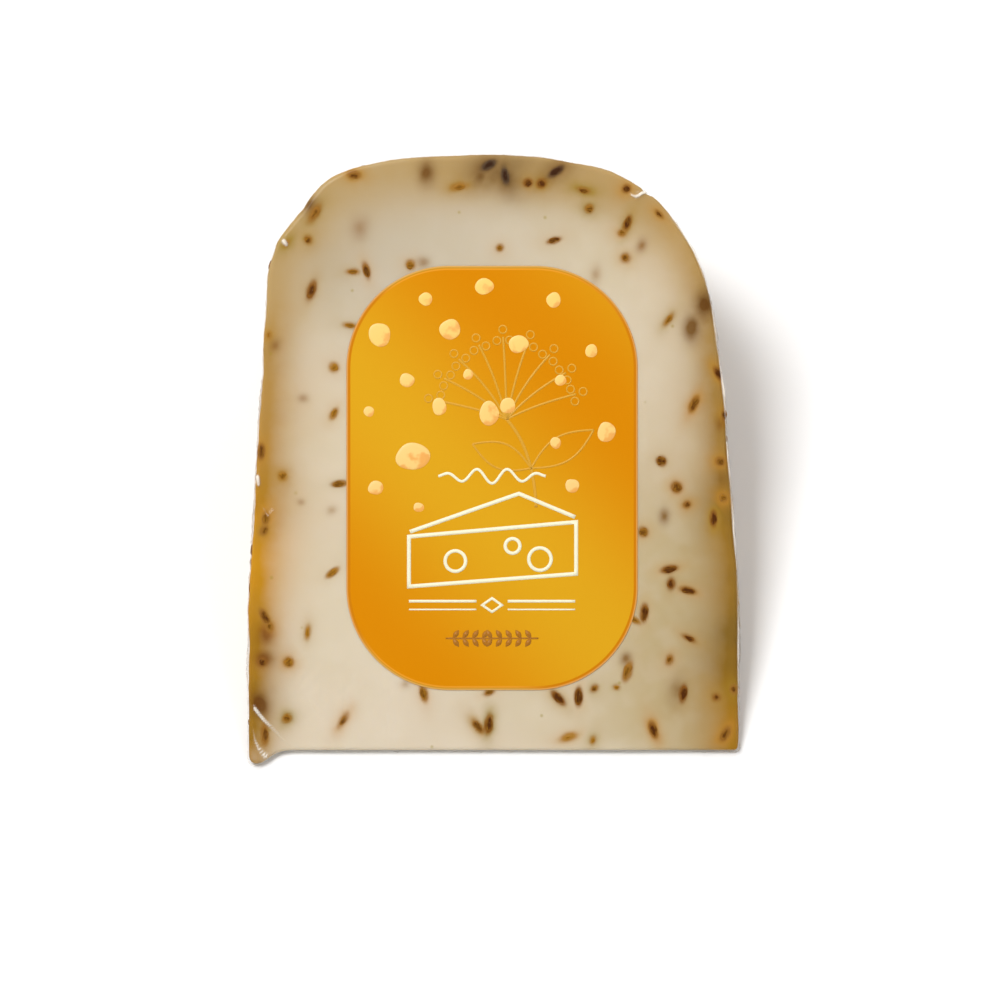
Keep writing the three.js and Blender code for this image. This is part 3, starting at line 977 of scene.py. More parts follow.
def seed_material(settings):
    """A hull with fine lines along it, dark brown or golden, that fades at its rim into the stain in the
    paste. A soft seed fades further in."""
    p = Paint("seeds")
    along, beside, _ = p.parts("heart")
    golden, soft, own = p.parts("look")
    share = ((along * along) + (beside * beside)) ** 0.5
    place = p.node("CombineXYZ", None, {"X": 0.8 * along, "Y": 2.4 * beside, "Z": own})["Vector"]
    lines = p.node("TexNoise", None, {"Vector": place, "Scale": 1.5, "Detail": 2.0})["Fac"]
    patches = p.noise(0.9 * MM, 3)
    light = (golden + 1.9 * (lines - 0.53) + 0.8 * (patches - 0.5)).at_most(1).at_least(0)
    hull = p.mix(light, settings.hull, settings.husk)
    streak = (1 - (3.2 * beside + 1.5 * (patches - 0.5)) ** 2).at_least(0) * (1 - share.smooth(0.4, 0.9))
    hull = p.mix(0.6 * streak * lines.smooth(0.4, 0.55), hull, settings.hull)
    hull = p.mix((-0.8 * golden).at_least(0), hull, shade("2e1c10"))
    stain = stain_colour(p, golden, settings)
    rim = (share + 0.5 * (patches - 0.5) + 0.35 * soft).smooth(0.55, 1.05)
    base = p.mix(0.95 * rim, hull, stain)
    return p.finish(p.surface(
        Base_Color=base, Roughness=0.5 + 0.2 * p.noise(0.4 * MM), Specular_IOR_Level=0.05,
        Normal=p.bump(p.noise(0.35 * MM, 3), 0.06 * MM, 0.5),
    ))


def back_seed_rows(count, rng):
    """Rows of up to that many seeds at random on the back cut face, without those less than 3 mm inside its
    border."""
    rows = np.column_stack([
        rng.uniform(-46, 46, count) * MM, rng.uniform(3, 114, count) * MM, rng.uniform(1.5, 3.6, count) * MM,
        rng.uniform(1.1, 1.7, count) * MM, rng.uniform(0, math.pi, count), rng.uniform(0, 0.8, count),
        rng.uniform(0, 0.6, count),
    ])
    return rows[depth_inside(rows, cut_border(CHEESE_POINTS)) > 3 * MM]


def rind_seed_points(count, template, rng):
    """Seeds that lie in the rind, as rows and points: each at a random place along the border and a random
    turn about the wheel's axis, with its long way turned at random in the rind."""
    border = cut_border(CHEESE_POINTS)
    normal = outward(border)
    on_rind = np.flatnonzero(border_look(border)[2] > 0)
    weight = np.maximum(border[on_rind, 1] + NOSE_RADIUS - 8 * MM, 0)
    at = rng.choice(on_rind, count, p=weight / weight.sum())
    r = border[at, 1] + NOSE_RADIUS
    clear = 2.4 * MM / r
    angle = clear + rng.uniform(0, 1, count) * (WEDGE_ANGLE - 2 * clear)
    length = rng.uniform(1.6, 3.6, count) * MM
    slender = rng.uniform(0.4, 1.0, count)
    rows = np.column_stack([
        np.zeros(count), np.zeros(count), length, np.minimum(slender * length, 1.9 * MM),
        rng.uniform(0, math.pi, count), rng.uniform(0, 0.6, count), rng.uniform(0, 0.5, count),
    ])
    local = seed_shapes(rows, rng.uniform(0.5, 0.8, count), template, sink=0.45, dome=0.3)
    n2 = normal[at]
    radial = np.stack([np.zeros(count), np.cos(angle), np.sin(angle)], axis=-1)
    sweep = np.stack([np.zeros(count), -np.sin(angle), np.cos(angle)], axis=-1)
    across = np.array([1.0, 0, 0])
    out = n2[:, :1] * across + n2[:, 1:] * radial
    along = -n2[:, 1:] * across + n2[:, :1] * radial
    centre = np.column_stack([border[at, 0], AXIS_Y + r * np.cos(angle), AXIS_Z + r * np.sin(angle)])
    points = centre[:, None] + local[..., :1] * along[:, None] + local[..., 1:2] * sweep[:, None]
    return rows, points + (local[..., 2:] + 0.12 * MM) * out[:, None]


# ---------- Film ----------
TAIL_WIDTH = 76 * MM  # of the closing seal's tail
TAIL_LENGTH = 15 * MM
TAIL_SWEEP = math.radians(7)  # about the wheel's axis, from its root to its free edge
TAIL_RIDGES = 15  # crimps in the weld, if they ran all along the tail
FILM_DOUBLE = 0.15 * MM  # thickness of the tail's two layers together
# Creases in the film over the front cut face, raised as ridges and painted white as the film's whitening and as
# painted glints: width in millimetres, strength at the start and at the end, and points across and up in millimetres.
CREASE_GLINTS = [
    (0.42, 1.1, 0.4, [(-48.8, 8.7), (-46.9, 6.5), (-45.3, 4.9), (-43.4, 2.7), (-41.5, 0.7)]),
    (0.38, 0.5, 1.1, [(-49.0, 4.2), (-48.7, 3.1), (-47.9, 2.0), (-46.4, 0.6)]),
    (0.36, 0.8, 1.3, [(28.3, 113.5), (29.3, 113.1), (30.4, 113.9), (31.3, 114.2)]),
    (0.62, 1.1, 0.8, [(-42.9, 104.0), (-42.4, 103.4)]),
    (0.22, 0.5, 0.7, [(-47.2, 49.8), (-46.2, 47.8), (-45.0, 49.2)]),
    (0.45, 1.2, 0.9, [(-48.3, 55.9), (-48.1, 54.2)]),
    (0.22, 0.3, 0.3, [(-47.6, 83.4), (-47.2, 80.0), (-47.7, 76.6)]),
    (0.22, 0.5, 0.2, [(-48.9, 14.6), (-48.2, 11.4)]),
]
# Painted highlights: pale lines of the film's edge reflection just inside the border: from and to which direction from
# the middle, in degrees, how far inside and how wide in millimetres, and how strong.
EDGE_HIGHLIGHTS = [
    (57, 34, 0.05, 0.2, 0.9), (40, 20, 0.05, 0.2, 0.8), (27, 4, 0, 0.22, 0.9), (12, -12, 0, 0.22, 0.9),
    (-5, -29, 0, 0.22, 0.85), (-22, -50, 0.05, 0.2, 0.8), (196, 188, 0.2, 0.15, 0.6),
    (222, 213, 0.2, 0.15, 0.5),
]
# Painted sheens: faint upright streaks of reflection in the film near the nose.
SHEENS = [
    [(-39.0, 14.0), (-35.5, 8.0), (-34.0, 1.5)],
    [(-30.5, 12.0), (-29.2, 6.0), (-29.4, 0.5)],
    [(-21.0, 13.5), (-20.6, 7.0), (-21.2, 1.0)],
]


def near_line(places, line, width, first=1.0, last=1.0):
    """A line's strength, from first to last along it, times exp(-(distance / width)^2), by the nearest
    point of the line's steps."""
    start, step = line[:-1], np.diff(line, axis=0)
    share = np.clip(((places[:, None] - start) * step).sum(axis=2) / (step**2).sum(axis=1), 0, 1)
    apart = np.linalg.norm(places[:, None] - start - share[..., None] * step, axis=2)
    best = apart.argmin(axis=1)
    rows = np.arange(len(places))
    along = (best + share[rows, best]) / len(step)
    return (first + (last - first) * along) * np.exp(-((apart[rows, best] / width) ** 2))


def film_lines(skin, places):
    """How strongly each point of the film is drawn into a crease and painted white as its glint, and how strong its
    painted sheen is, off the lists above. A painted edge highlight is drawn as two halves, faint at its ends and
    strong at its middle."""
    crease, sheen = np.zeros(len(places)), np.zeros(len(places))
    edge_band = np.flatnonzero((skin.turn == 0) & (skin.inset < 16 * MM))
    flat = places[edge_band, :2]
    for width, first, last, line in CREASE_GLINTS:
        strength = near_line(flat, np.array(line) * MM, width * MM, first, last)
        crease[edge_band] = np.maximum(crease[edge_band], strength)
    angle = directions(skin.border)
    # Painted highlights along the border, standing for the film's edge reflecting the light.
    for start, end, inside, width, strength in EDGE_HIGHLIGHTS:
        reach = (start - angle) % 360
        part = np.flatnonzero(reach < start - end)
        part = part[np.argsort(reach[part])]
        line = (skin.border - inside * MM * outward(skin.border))[part]
        half = len(line) // 2
        for piece, first, last in ((line[: half + 1], 0.3, 1.3), (line[half:], 1.3, 0.3)):
            near = strength * near_line(flat, piece, width * MM, first, last)
            crease[edge_band] = np.maximum(crease[edge_band], near)
    for line in SHEENS:
        sheen[edge_band] = np.maximum(sheen[edge_band], near_line(flat, np.array(line) * MM, 1.1 * MM))
    return crease, sheen


def border_ridges(skin):
    """How high the small creases stand that run in from the front cut face's border. Each is a sharp-backed
    sine ridge, (1 - |sin|)^3, and dies out within a few millimetres."""
    along = skin.around / FILM_POINTS * 2 * math.pi
    ridge = np.zeros(len(along))
    rng = np.random.default_rng(11)
    for count in (23, 41, 67):
        wave = np.abs(np.sin(count * along / 2 + rng.uniform(0, 6)))
        ridge += (1 - wave) ** 3 * (0.6 + 0.4 * np.sin(3 * along + rng.uniform(0, 6)))
    return 0.07 * MM * ridge * np.exp(-skin.inset / (2.6 * MM)) * (skin.turn == 0)


def make_film(settings):
    """The shrink bag: a closed skin just outside the cheese. It is tight and flat on the cut faces, and
    drawn into creases at the edges and corners and down the rind."""
    face = np.append(np.linspace(0.1, 0.8, 12), np.linspace(0.83, 1, 26))
    back = np.linspace(0.15, 1, 10)
    skin = Skin(FILM_POINTS, (FILM_FLAT, FILM_OUT), FILM_SNUG, FILM_FILLET, face, edge=5, rind=26, back=back)
    places = off_front(skin.points)
    crease, sheen = film_lines(skin, places)
    points = skin.points + skin_waves(places, skin.turn)
    points[:, 1] -= ear(points)
    points += (settings.crease_height * crease + border_ridges(skin))[:, None] * FRONT_NORMAL

    side = np.clip(np.minimum(skin.turn, 1 - skin.turn) * 8, 0, 1)
    swirl = ripple(skin.points, 16 * MM, 21)
    folds = (1 - np.abs(np.sin(2.6 * swirl + 0.9 * ripple(skin.points, 7 * MM, 23)))) ** 4
    slack = (0.06 + 0.30 * folds + 0.05 * ripple(skin.points, 5 * MM, 25)) * MM * side
    sideways = rind_lumps(skin.points, skin.on_rind()) + slack
    points += sideways[:, None] * skin.normal[skin.around]
    # Painted highlights down the rind: the film's fold ridges are whitened as their glints.
    crease = np.maximum(crease, 0.6 * folds**2 * side)
    points[:, 2] = np.maximum(points[:, 2], 0.02 * MM)

    tail_points, tail_faces, tail_crease = film_tail()
    size = len(points)
    faces = [np.vstack([part, tail + size]) for part, tail in zip(skin.faces, tail_faces)]
    attributes = {
        "crease": np.append(crease, tail_crease),
        "sheen": np.append(sheen, np.zeros(len(tail_points))),
        "gloss": np.append(side, np.ones(len(tail_points))),
    }
    obj = make_object("film_bag", np.vstack([points, tail_points]), *faces, "clear_film", attributes)
    obj.data.materials.append(film_material(settings))
    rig.replaces(obj, "shrink_bag")
    return obj


def film_tail():
    """The closing seal's tail: a thin closed strip that comes out of the rim half way between the cut faces
    and is folded down on it. It follows the wheel's outline across, the wheel's curve down, and its free
    edge is uneven. The welded band is crimped in fine ridges along the strip."""
    columns, lanes = 150, 40
    border = cut_border(CHEESE_POINTS)
    over = border[border[:, 1] > FACE_LENGTH * 0.75]
    over = over[np.argsort(over[:, 0])]
    across = np.linspace(-TAIL_WIDTH / 2, TAIL_WIDTH / 2, columns)
    height = np.interp(across, over[:, 0], over[:, 1]) + NOSE_RADIUS
    lane = np.linspace(0, 1, lanes)[:, None]
    place = np.stack(np.broadcast_arrays(across[None], lane * TAIL_LENGTH), axis=-1)
    edge = 1 + 0.02 * ripple(across[:, None], 9 * MM, 31)
    angle = WEDGE_ANGLE / 2 - TAIL_SWEEP * lane * edge
    weld = smooth_step(0.45, 0.5, lane) * smooth_step(0.95, 0.9, lane)
    crimp = 0.07 * MM * np.sin(2 * math.pi * TAIL_RIDGES * lane) * weld
    curl = 0.9 * (np.abs(across) / (TAIL_WIDTH / 2)) ** 8 * lane
    lift = np.maximum((0.35 + 0.25 * ripple(place, 14 * MM, 33) + curl) * MM, 0.1 * MM)
    lift = lift * smooth_step(0, 0.12, lane) - 0.3 * MM * (1 - smooth_step(0, 0.08, lane))
    below = height + FILM_SNUG + 0.2 * MM + lift + crimp
    sheets = []
    for radius in (below + FILM_DOUBLE, below):
        y, z = AXIS_Y + radius * np.cos(angle), AXIS_Z + radius * np.sin(angle)
        sheets.append(np.stack(np.broadcast_arrays(across, y, z), axis=-1))
    rings = np.concatenate([sheets[0], sheets[1][:, ::-1]], axis=1)
    count = rings.shape[1]
    ends = np.stack([rings[0].mean(axis=0), rings[-1].mean(axis=0)])
    points = np.vstack([rings.reshape(-1, 3), ends])
    crease = 0.12 * np.broadcast_to(weld, (lanes, count)).ravel()
    return points, ring_faces(lanes, count), np.append(crease, [0.2, 0.2])


def film_material(settings):
    """Clear film: it lets light through, mirrors more of it at a slant, least on the cut faces that it is tight on,
    and is painted white at its creases, partly as the film's whitening and partly as painted glints, with painted
    highlights along the edge and painted sheens near the nose."""
    p = Paint("film")
    pull = p.noise(9 * MM, 4, stretch=(2.6, 1.0, 1.0))
    normal = p.bump(pull + 0.3 * p.noise(2.4 * MM, 3), 0.25 * MM, 0.35)
    mirror = p.node("BsdfAnisotropic", None, {"Roughness": settings.roughness, "Normal": normal})["BSDF"]
    # The white that paints the film's glints, edge highlights and sheens.
    cloud = p.surface(Base_Color=shade("fff8ea"), Roughness=0.3, Specular_IOR_Level=0.5)
    clear = p.node("BsdfTransparent", None, {"Color": (1, 1, 1, 1)})["BSDF"]
    # Painted glints: at the creases and along the edge highlights the film is covered with that white.
    crease_glint = (p.number("crease") * (0.8 + 0.4 * p.noise(1.6 * MM, 2))).smooth(0.25, 1.1)
    cover = (settings.veil + 0.8 * crease_glint + 0.05 * p.number("sheen")).at_most(1)
    body = p.node("MixShader", None, (cover, clear, cloud))["Shader"]
    slant = p.node("Fresnel", None, {"IOR": 1.4})["Fac"]
    share = (slant * (0.4 + 0.8 * p.number("gloss"))).at_most(0.06 + 0.3 * p.number("gloss"))
    return p.finish(p.node("MixShader", None, (share, body, mirror))["Shader"])


# ---------- Label ----------
# Printed spots, in millimetres from the label's middle: across, up, width and height.
SPOTS = [
    (-1.6, 39.2, 3.9, 3.3), (-13.6, 36.6, 2.7, 2.8), (12.6, 36.4, 3.0, 3.1), (-23.0, 29.3, 4.5, 4.9),
    (-8.6, 30.4, 4.2, 4.3), (5.4, 27.4, 4.1, 3.6), (20.3, 26.0, 2.5, 2.7), (-17.4, 20.0, 3.1, 2.8),
    (-4.9, 21.2, 2.0, 2.2), (14.0, 20.0, 2.3, 2.3), (-10.8, 14.6, 2.9, 3.6), (-25.2, 13.6, 2.2, 2.1),
    (-0.6, 13.2, 4.1, 4.9), (3.2, 14.8, 3.1, 3.3), (23.4, 9.4, 3.7, 4.1), (13.0, 7.2, 2.2, 2.4),
    (-16.2, 4.4, 7.0, 5.6), (16.4, -1.6, 2.8, 2.9), (-23.8, -2.0, 3.1, 2.9), (-15.0, -6.0, 2.2, 1.9),
]
SPOT_WIDTH = 4 * MM  # of a middling spot
SPOT_RISE = 0.14 * MM  # of such a spot over the paper
SPOT_SUNK = 0.04 * MM  # how far a spot reaches into the paper
PAPER = 0.07 * MM  # how far the label's printed side stands off the film


class LabelPlace:
    """Where the label lies: its middle and size, read off its CAD solid, and its heights over the front cut
    face."""

    def __init__(self):
        places = off_front(corners_of("label"))
        low, high = places.min(axis=0), places.max(axis=0)
        self.middle = (low + high)[:2] / 2
        self.size = (high - low)[:2]
        self.bottom, self.top = FILM_FLAT + 0.01 * MM, FILM_FLAT + PAPER

    def at(self, across, up, out):
        """Points over the label: across and up from its middle, and out of its printed side."""
        return on_front(across + self.middle[0], up + self.middle[1], self.top + np.asarray(out))


def label_wave(places, place):
    """The label's unevenness, which it takes from the cut face under it."""
    return face_wave(places + place.middle)


def make_label(settings):
    """A sheet with round corners: rings drawn in towards the middle on the printed side, rings a fraction of
    a millimetre in for the rounded edge, and rings drawn in again on the back."""
    place = LabelPlace()
    border = rounded_rectangle(*place.size, settings.corner, 480)
    normal = outward(border)
    thick = place.top - place.bottom
    rings, heights, insets = [], [], []
    for share in np.linspace(0.04, 0.96, 30):
        rings.append((border - 2 * MM * normal) * share)
        insets.append((1 - share) * place.size[0] / 2 + 2 * MM)
        heights.append(0)
    for depth in (2.0, 1.5, 0.9, 0.6, 0.4, 0.12):
        rings.append(border - depth * MM * normal)
        insets.append(depth * MM)
        heights.append(0)
    for depth, height in ((0.03, -0.15), (0, -0.5), (0.03, -0.85), (0.12, -1)):
        rings.append(border - depth * MM * normal)
        insets.append(depth * MM)
        heights.append(height * thick)
    for share in np.linspace(0.96, 0.04, 16):
        rings.append(border * share)
        insets.append((1 - share) * place.size[0] / 2)
        heights.append(-thick)
    count = len(border)
    flat = np.vstack([*rings, [[0, 0], [0, 0]]])
    out = np.append(np.repeat(heights, count), [0, -thick]) + label_wave(flat, place)
    inset = np.append(np.repeat(insets, count), [place.size[0] / 2] * 2)
    points = place.at(flat[:, 0], flat[:, 1], out)
    attributes = {"inset": inset, "print": np.column_stack([flat, np.zeros(len(flat))])}
    obj = make_object("amber_label", points, *ring_faces(len(rings), count), "label_paper", attributes)
    obj.data.materials.append(label_material(settings, place))
    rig.replaces(obj, "label")
    return obj


def label_material(settings, place):
    """Coated paper with an orange and gold gradient from corner to corner, inside a border of another
    shade."""
    p = Paint("label paper")
    across, up, _ = p.parts("print")
    from_nose = float(place.middle.sum())
    diagonal = (across + up + (from_nose - 46.3 * MM)) / (47 * MM) * math.pi
    glow = 0.5 + 0.5 * diagonal.cosine()
    ground = p.mix(glow, settings.orange, settings.gold)
    end = (up / (place.size[1] / 2)) ** 2
    inset = p.number("inset")
    lines = p.mix(inset.smooth(0.48 * MM, 0.58 * MM), settings.band_gold, settings.band_light)
    band = p.mix(end.smooth(0.45, 0.75) * (1 - glow.smooth(0.3, 0.6)), settings.band_orange, lines)
    base = p.mix(inset.smooth(0.74 * MM, 0.9 * MM), band, ground)
    rim = 1 - inset.smooth(0.2 * MM, 0.4 * MM)
    base = p.mix(0.25 * rim, base, settings.edge_light)
    base = p.mix(0.10 * p.noise(0.3 * MM, 2), base, shade("d9971c"))
    rough = 0.27 + 0.06 * p.noise(0.5 * MM, 2)
    ledge = inset.smooth(0.6 * MM, 0.9 * MM)
    normal = p.bump(ledge + 0.15 * p.noise(0.25 * MM, 2), 0.03 * MM, 0.4)
    return p.finish(p.surface(Base_Color=base, Roughness=rough, Normal=normal, Specular_IOR_Level=0.1))


def make_spots(settings):
    """Raised drops of print: low domes whose outline is a circle with a few slow random waves in it, as
    rings from the top down, and the last ring inside the paper. A wider spot stands higher, by the square
    root of its width."""
    place = LabelPlace()
    rows = np.array(SPOTS) * MM
    rng = np.random.default_rng(51)
    count, levels = 36, 7
    angle = np.arange(count) * 2 * math.pi / count
    phase = rng.uniform(0, 2 * math.pi, (len(rows), 3, 1))
    waves = ((2, 0.03), (3, 0.03), (4, 0.02))
    outline = 1 + sum(size * np.sin(k * angle + phase[:, k - 2]) for k, size in waves)
    rise = np.linspace(0, math.pi / 2, levels + 1)[1:]
    shares = np.append(np.sin(rise), [0.6])
    heights = np.append(SPOT_RISE * np.cos(rise), [-SPOT_SUNK])
    ring = outline[:, None] * shares[:, None]
    x = ring * np.cos(angle) * rows[:, 2, None, None] / 2
    y = ring * np.sin(angle) * rows[:, 3, None, None] / 2
    swell = np.sqrt(rows[:, 2] / SPOT_WIDTH)
    lift = np.broadcast_to(heights[:, None], (levels + 1, count)) * swell[:, None, None]
    local = np.stack([x, y, lift], axis=-1).reshape(len(rows), -1, 3)
    poles = np.zeros((len(rows), 2, 3))
    poles[:, 0, 2] = SPOT_RISE * swell
    poles[:, 1, 2] = -SPOT_SUNK
    local = np.concatenate([local, poles], axis=1)
    flat = local[..., :2] + rows[:, None, :2]
    points = place.at(flat[..., 0], flat[..., 1], local[..., 2] + label_wave(flat, place))
    side = (local[..., :2] / (rows[:, None, 2:] / 2)).reshape(-1, 2)
    attributes = {
        "side": np.column_stack([side, np.zeros(len(side))]),
        "low": np.repeat(0.5 - rows[:, 1] / place.size[1], local.shape[1]),
    }
    faces = several(points, ring_faces(levels + 1, count))
    obj = make_object("label_spots", points.reshape(-1, 3), *faces, "label_paper", attributes)
    obj.data.materials.append(spot_material(settings))
    return obj


def spot_material(settings):
    """Thick pale print, lighter towards the upper left and cooler low on the label."""
    p = Paint("spot print")
    across, up, _ = p.parts("side")
    light = (0.62 - 0.25 * across + 0.3 * up + 1.5 * (p.noise(2.2 * MM, 2) - 0.5)).smooth(0.3, 0.6)
    dark = p.mix(p.number("low"), settings.spot_gold, shade("eaa04a"))
    pale = p.mix(p.number("low"), shade("f6cd6c"), shade("f0c484"))
    return p.finish(p.surface(Base_Color=p.mix(light, dark, pale), Roughness=0.4, Specular_IOR_Level=0.35))


# ---------- The drawing on the label ----------
def short_steps(line, closed, longest=1.2):
    """A line with points put in between, so that no step is longer than longest and it can follow the
    label."""
    ends = np.vstack([line, line[:1]]) if closed else line
    pieces = []
    for start, end in zip(ends[:-1], ends[1:]):
        count = max(1, math.ceil(np.linalg.norm(end - start) / longest))
        pieces.append(start + np.arange(count)[:, None] / count * (end - start))
    return np.vstack(pieces) if closed else np.vstack([*pieces, line[-1:]])


def ribbon(line, width, closed=False):
    """A flat strip along a line on the label, as its left side, its right side and whether it is closed:
    the line moved half a width to either side, further where it bends."""
    line = short_steps(np.asarray(line, float), closed)
    before = np.roll(line, 1, axis=0)
    after = np.roll(line, -1, axis=0)
    if not closed:
        before[0], after[-1] = line[0], line[-1]
    one, two = line - before, after - line
    if not closed:
        one[0], two[-1] = two[0], one[-1]
    one /= np.linalg.norm(one, axis=1, keepdims=True)
    two /= np.linalg.norm(two, axis=1, keepdims=True)
    tangent = one + two
    tangent /= np.linalg.norm(tangent, axis=1, keepdims=True)
    side = np.column_stack([-tangent[:, 1], tangent[:, 0]]) * width / 2
    side /= np.clip((tangent * one).sum(axis=1, keepdims=True), 0.4, 1)
    return line + side, line - side, closed


def strip_mesh(strips, thickness):
    """One mesh of many strips on the label, each with a top, a bottom, sides and, unless it is closed, two
    ends. No two strips have the same height, so that they can cross."""
    points, quads, size = [], [], 0
    heights = thickness * np.linspace(0.7, 1, len(strips))
    for (left, right, closed), height in zip(strips, heights):
        count = len(left)
        top, bottom = np.full(count, height), np.full(count, -height)
        rings = np.stack([
            np.column_stack([left, top]), np.column_stack([right, top]),
            np.column_stack([right, bottom]), np.column_stack([left, bottom]),
        ], axis=1)
        index = size + np.arange(4 * count).reshape(count, 4)
        after = np.roll(index, -1, axis=0)
        if not closed:
            quads.append(index[:1, ::-1])
            quads.append(index[-1:])
            index, after = index[:-1], after[:-1]
        for k in range(4):
            m = (k + 1) % 4
            quads.append(np.column_stack([index[:, k], index[:, m], after[:, m], after[:, k]]))
        points.append(rings.reshape(-1, 3))
        size += 4 * count
    return np.vstack(points), np.vstack(quads)


def circle(x, y, radius, count=32):
    """A circle's points, clockwise."""
    angle = np.arange(count)[::-1] * 2 * math.pi / count
    return np.column_stack([x + radius * np.cos(angle), y + radius * np.sin(angle)])


def heading(angle):
    """One unit in a direction, as across and up."""
    return np.array([math.cos(angle), math.sin(angle)])


def bow(start, bend, end):
    """A curved line from start to end that leans towards bend: (1 - t)^2 start + 2t(1 - t) bend + t^2
    end."""
    t = np.linspace(0, 1, 40)[:, None]
    return (1 - t) ** 2 * start + 2 * (t * (1 - t)) * bend + t**2 * end


def cream_drawing():
    """Strips of the cream drawing, in millimetres from the label's middle: a flourish, a wedge of cheese
    with three holes, and a double rule with a lozenge."""
    t = np.linspace(0, 1, 90)
    height = 0.4 + 1.5 * np.sin(2 * math.pi * 3.5 * t) * np.sin(math.pi * t) ** 0.7
    wave = np.column_stack([-11 + 22 * t, height])
    strips = [ribbon(wave, 0.55)]
    strips.append(ribbon([(-16.8, -11.0), (5.5, -3.2), (17.0, -8.0)], 0.8))
    strips.append(ribbon([(-17, -12.0), (17.2, -9.0), (17.2, -19.6), (-17, -22.2)], 0.8, True))
    for x, y, radius in ((-7.5, -17.0, 2.1), (4.2, -13.9, 1.5), (9.8, -16.6, 2.3)):
        strips.append(ribbon(circle(x, y, radius), 0.7, True))
    for y, width in ((-25.2, 0.55), (-26.9, 0.3)):
        strips.append(ribbon([(-17, y), (-3.2, y)], width))
        strips.append(ribbon([(3.2, y), (17, y)], width))
    strips.append(ribbon([(-2, -26), (0, -24.6), (2, -26), (0, -27.4)], 0.5, True))
    return strips


def sprig_drawing():
    """Strips of the faint drawing, in millimetres from the label's middle: a flower head on a stem, whose
    rays end in small rings, with two plain leaves."""
    fork, leaf_foot = np.array([3.0, 12.0]), np.array([8.0, 2.0])
    strips = [ribbon(bow(np.array([9.0, -6.0]), np.array([8.5, 6.0]), fork), 0.6)]
    for angle in np.radians(np.linspace(20, 165, 9)):
        reach = 17.0 - 2.0 * abs(math.cos(angle))
        end = fork + reach * heading(angle)
        strips.append(ribbon(bow(fork, fork + 0.55 * reach * heading(angle) * [0.7, 1.05], end), 0.44))
        for small in np.radians((0, 120, 240)) + angle:
            strips.append(ribbon(circle(*(end + 1.5 * heading(small)), 0.8, 16), 0.28, True))
    s = np.linspace(0, 1, 40)[:, None]
    for lean, length in ((0.55, 15.0), (2.75, 13.0)):
        way, beside = heading(lean), heading(lean + math.pi / 2)
        for half in (-1, 1):
            blade = leaf_foot + length * s * way + half * 2.6 * np.sin(math.pi * s) * beside
            strips.append(ribbon(blade, 0.4))
    return strips


def leaf_drawing():
    """Strips of the dark drawing under the rule: a straight twig with pairs of small leaves."""
    twig_up = -32.8
    strips = [ribbon([(-9.5, twig_up), (9.5, twig_up)], 0.35)]
    s = np.linspace(0, 1, 16)[:, None]
    for x in np.linspace(-8, 8, 9):
        lean = math.radians(55 if x < 0 else 125)
        for side in (1, -1):
            way, beside = heading(side * lean), heading(side * lean + math.pi / 2)
            leaf = np.array([x, twig_up]) + 2.1 * s * way
            bulge = 0.5 * np.sin(math.pi * s) + 0.02
            strips.append((leaf + bulge * beside, leaf - bulge * beside, False))
    return strips


def make_drawing(name, strips, thickness, base, rough):
    """A drawing of thin strips that lies on the label."""
    place = LabelPlace()
    local, quads = strip_mesh(strips, thickness / MM)
    local = local * MM
    flat = local[:, :2]
    points = place.at(flat[:, 0], flat[:, 1], local[:, 2] + label_wave(flat, place))
    obj = make_object(name, points, quads, np.empty((0, 3), int), "label_paper")
    p = Paint(name.replace("_", " "))
    tone = p.mix(0.12 * p.noise(0.8 * MM, 3), base, shade("c98a20"))
    obj.data.materials.append(p.finish(p.surface(Base_Color=tone, Roughness=rough, Specular_IOR_Level=0.3)))
    return obj


# ---------- Operators ----------
def settings_of(context):
    return context.scene.cheese_wedge


class CHEESE_OT_wedge(bpy.types.Operator):
    """Make the piece of cheese, paste and rind in one"""

    bl_idname = "cheese.wedge"
    bl_label = "Cheese"

    def execute(self, context):
        make_cheese(settings_of(context).cheese)
        return {"FINISHED"}


class CHEESE_OT_seeds(bpy.types.Operator):
    """Make the seeds on the cut faces and in the rind"""

    bl_idname = "cheese.seeds"
    bl_label = "Seeds"

    def execute(self, context):
        settings = settings_of(context).cheese
        material = seed_material(settings)
        rng = np.random.default_rng(71)
        long_names, long_rows, round_names, round_rows = front_seeds()
        more = listed_seeds(MORE_SEEDS)
        pieces = [
            make_seeds("long_seeds", long_rows, rng.uniform(0.5, 0.75, len(long_rows)), long_names),
            make_seeds("round_seeds", round_rows, np.full(len(round_rows), 0.5), round_names),
            make_seeds("edge_seeds", more, np.full(len(more), 0.6), []),
        ]
        back = back_seed_rows(90, rng)
        pieces.append(make_seeds("back_seeds", back, np.full(len(back), 0.6), [], on_back, COARSE_SEED))
        template, faces = seed_template(*COARSE_SEED)
        rows, points = rind_seed_points(settings.rind_seeds, template, rng)
        faces = several(points, faces)
        marks = seed_attributes(template, rows)
        pieces.append(make_object("rind_seeds", points.reshape(-1, 3), *faces, "seed_hull", marks))
        for piece in pieces:
            piece.data.materials.append(material)
        return {"FINISHED"}


class CHEESE_OT_film(bpy.types.Operator):
    """Make the shrink bag of clear film, with its closing seal's tail"""

    bl_idname = "cheese.film"
    bl_label = "Shrink bag"

    def execute(self, context):
        make_film(settings_of(context).film)
        return {"FINISHED"}


class CHEESE_OT_label(bpy.types.Operator):
    """Make the label, its spots and its drawings"""

    bl_idname = "cheese.label"
    bl_label = "Label"

    def execute(self, context):
        settings = settings_of(context).label
        make_label(settings)
        make_spots(settings)
        make_drawing("cream_drawing", cream_drawing(), 0.04 * MM, settings.print_cream, 0.45)
        make_drawing("faint_drawing", sprig_drawing(), 0.02 * MM, shade("d89f2c"), 0.4)
        make_drawing("twig_drawing", leaf_drawing(), 0.03 * MM, shade("a8690c"), 0.4)
        return {"FINISHED"}


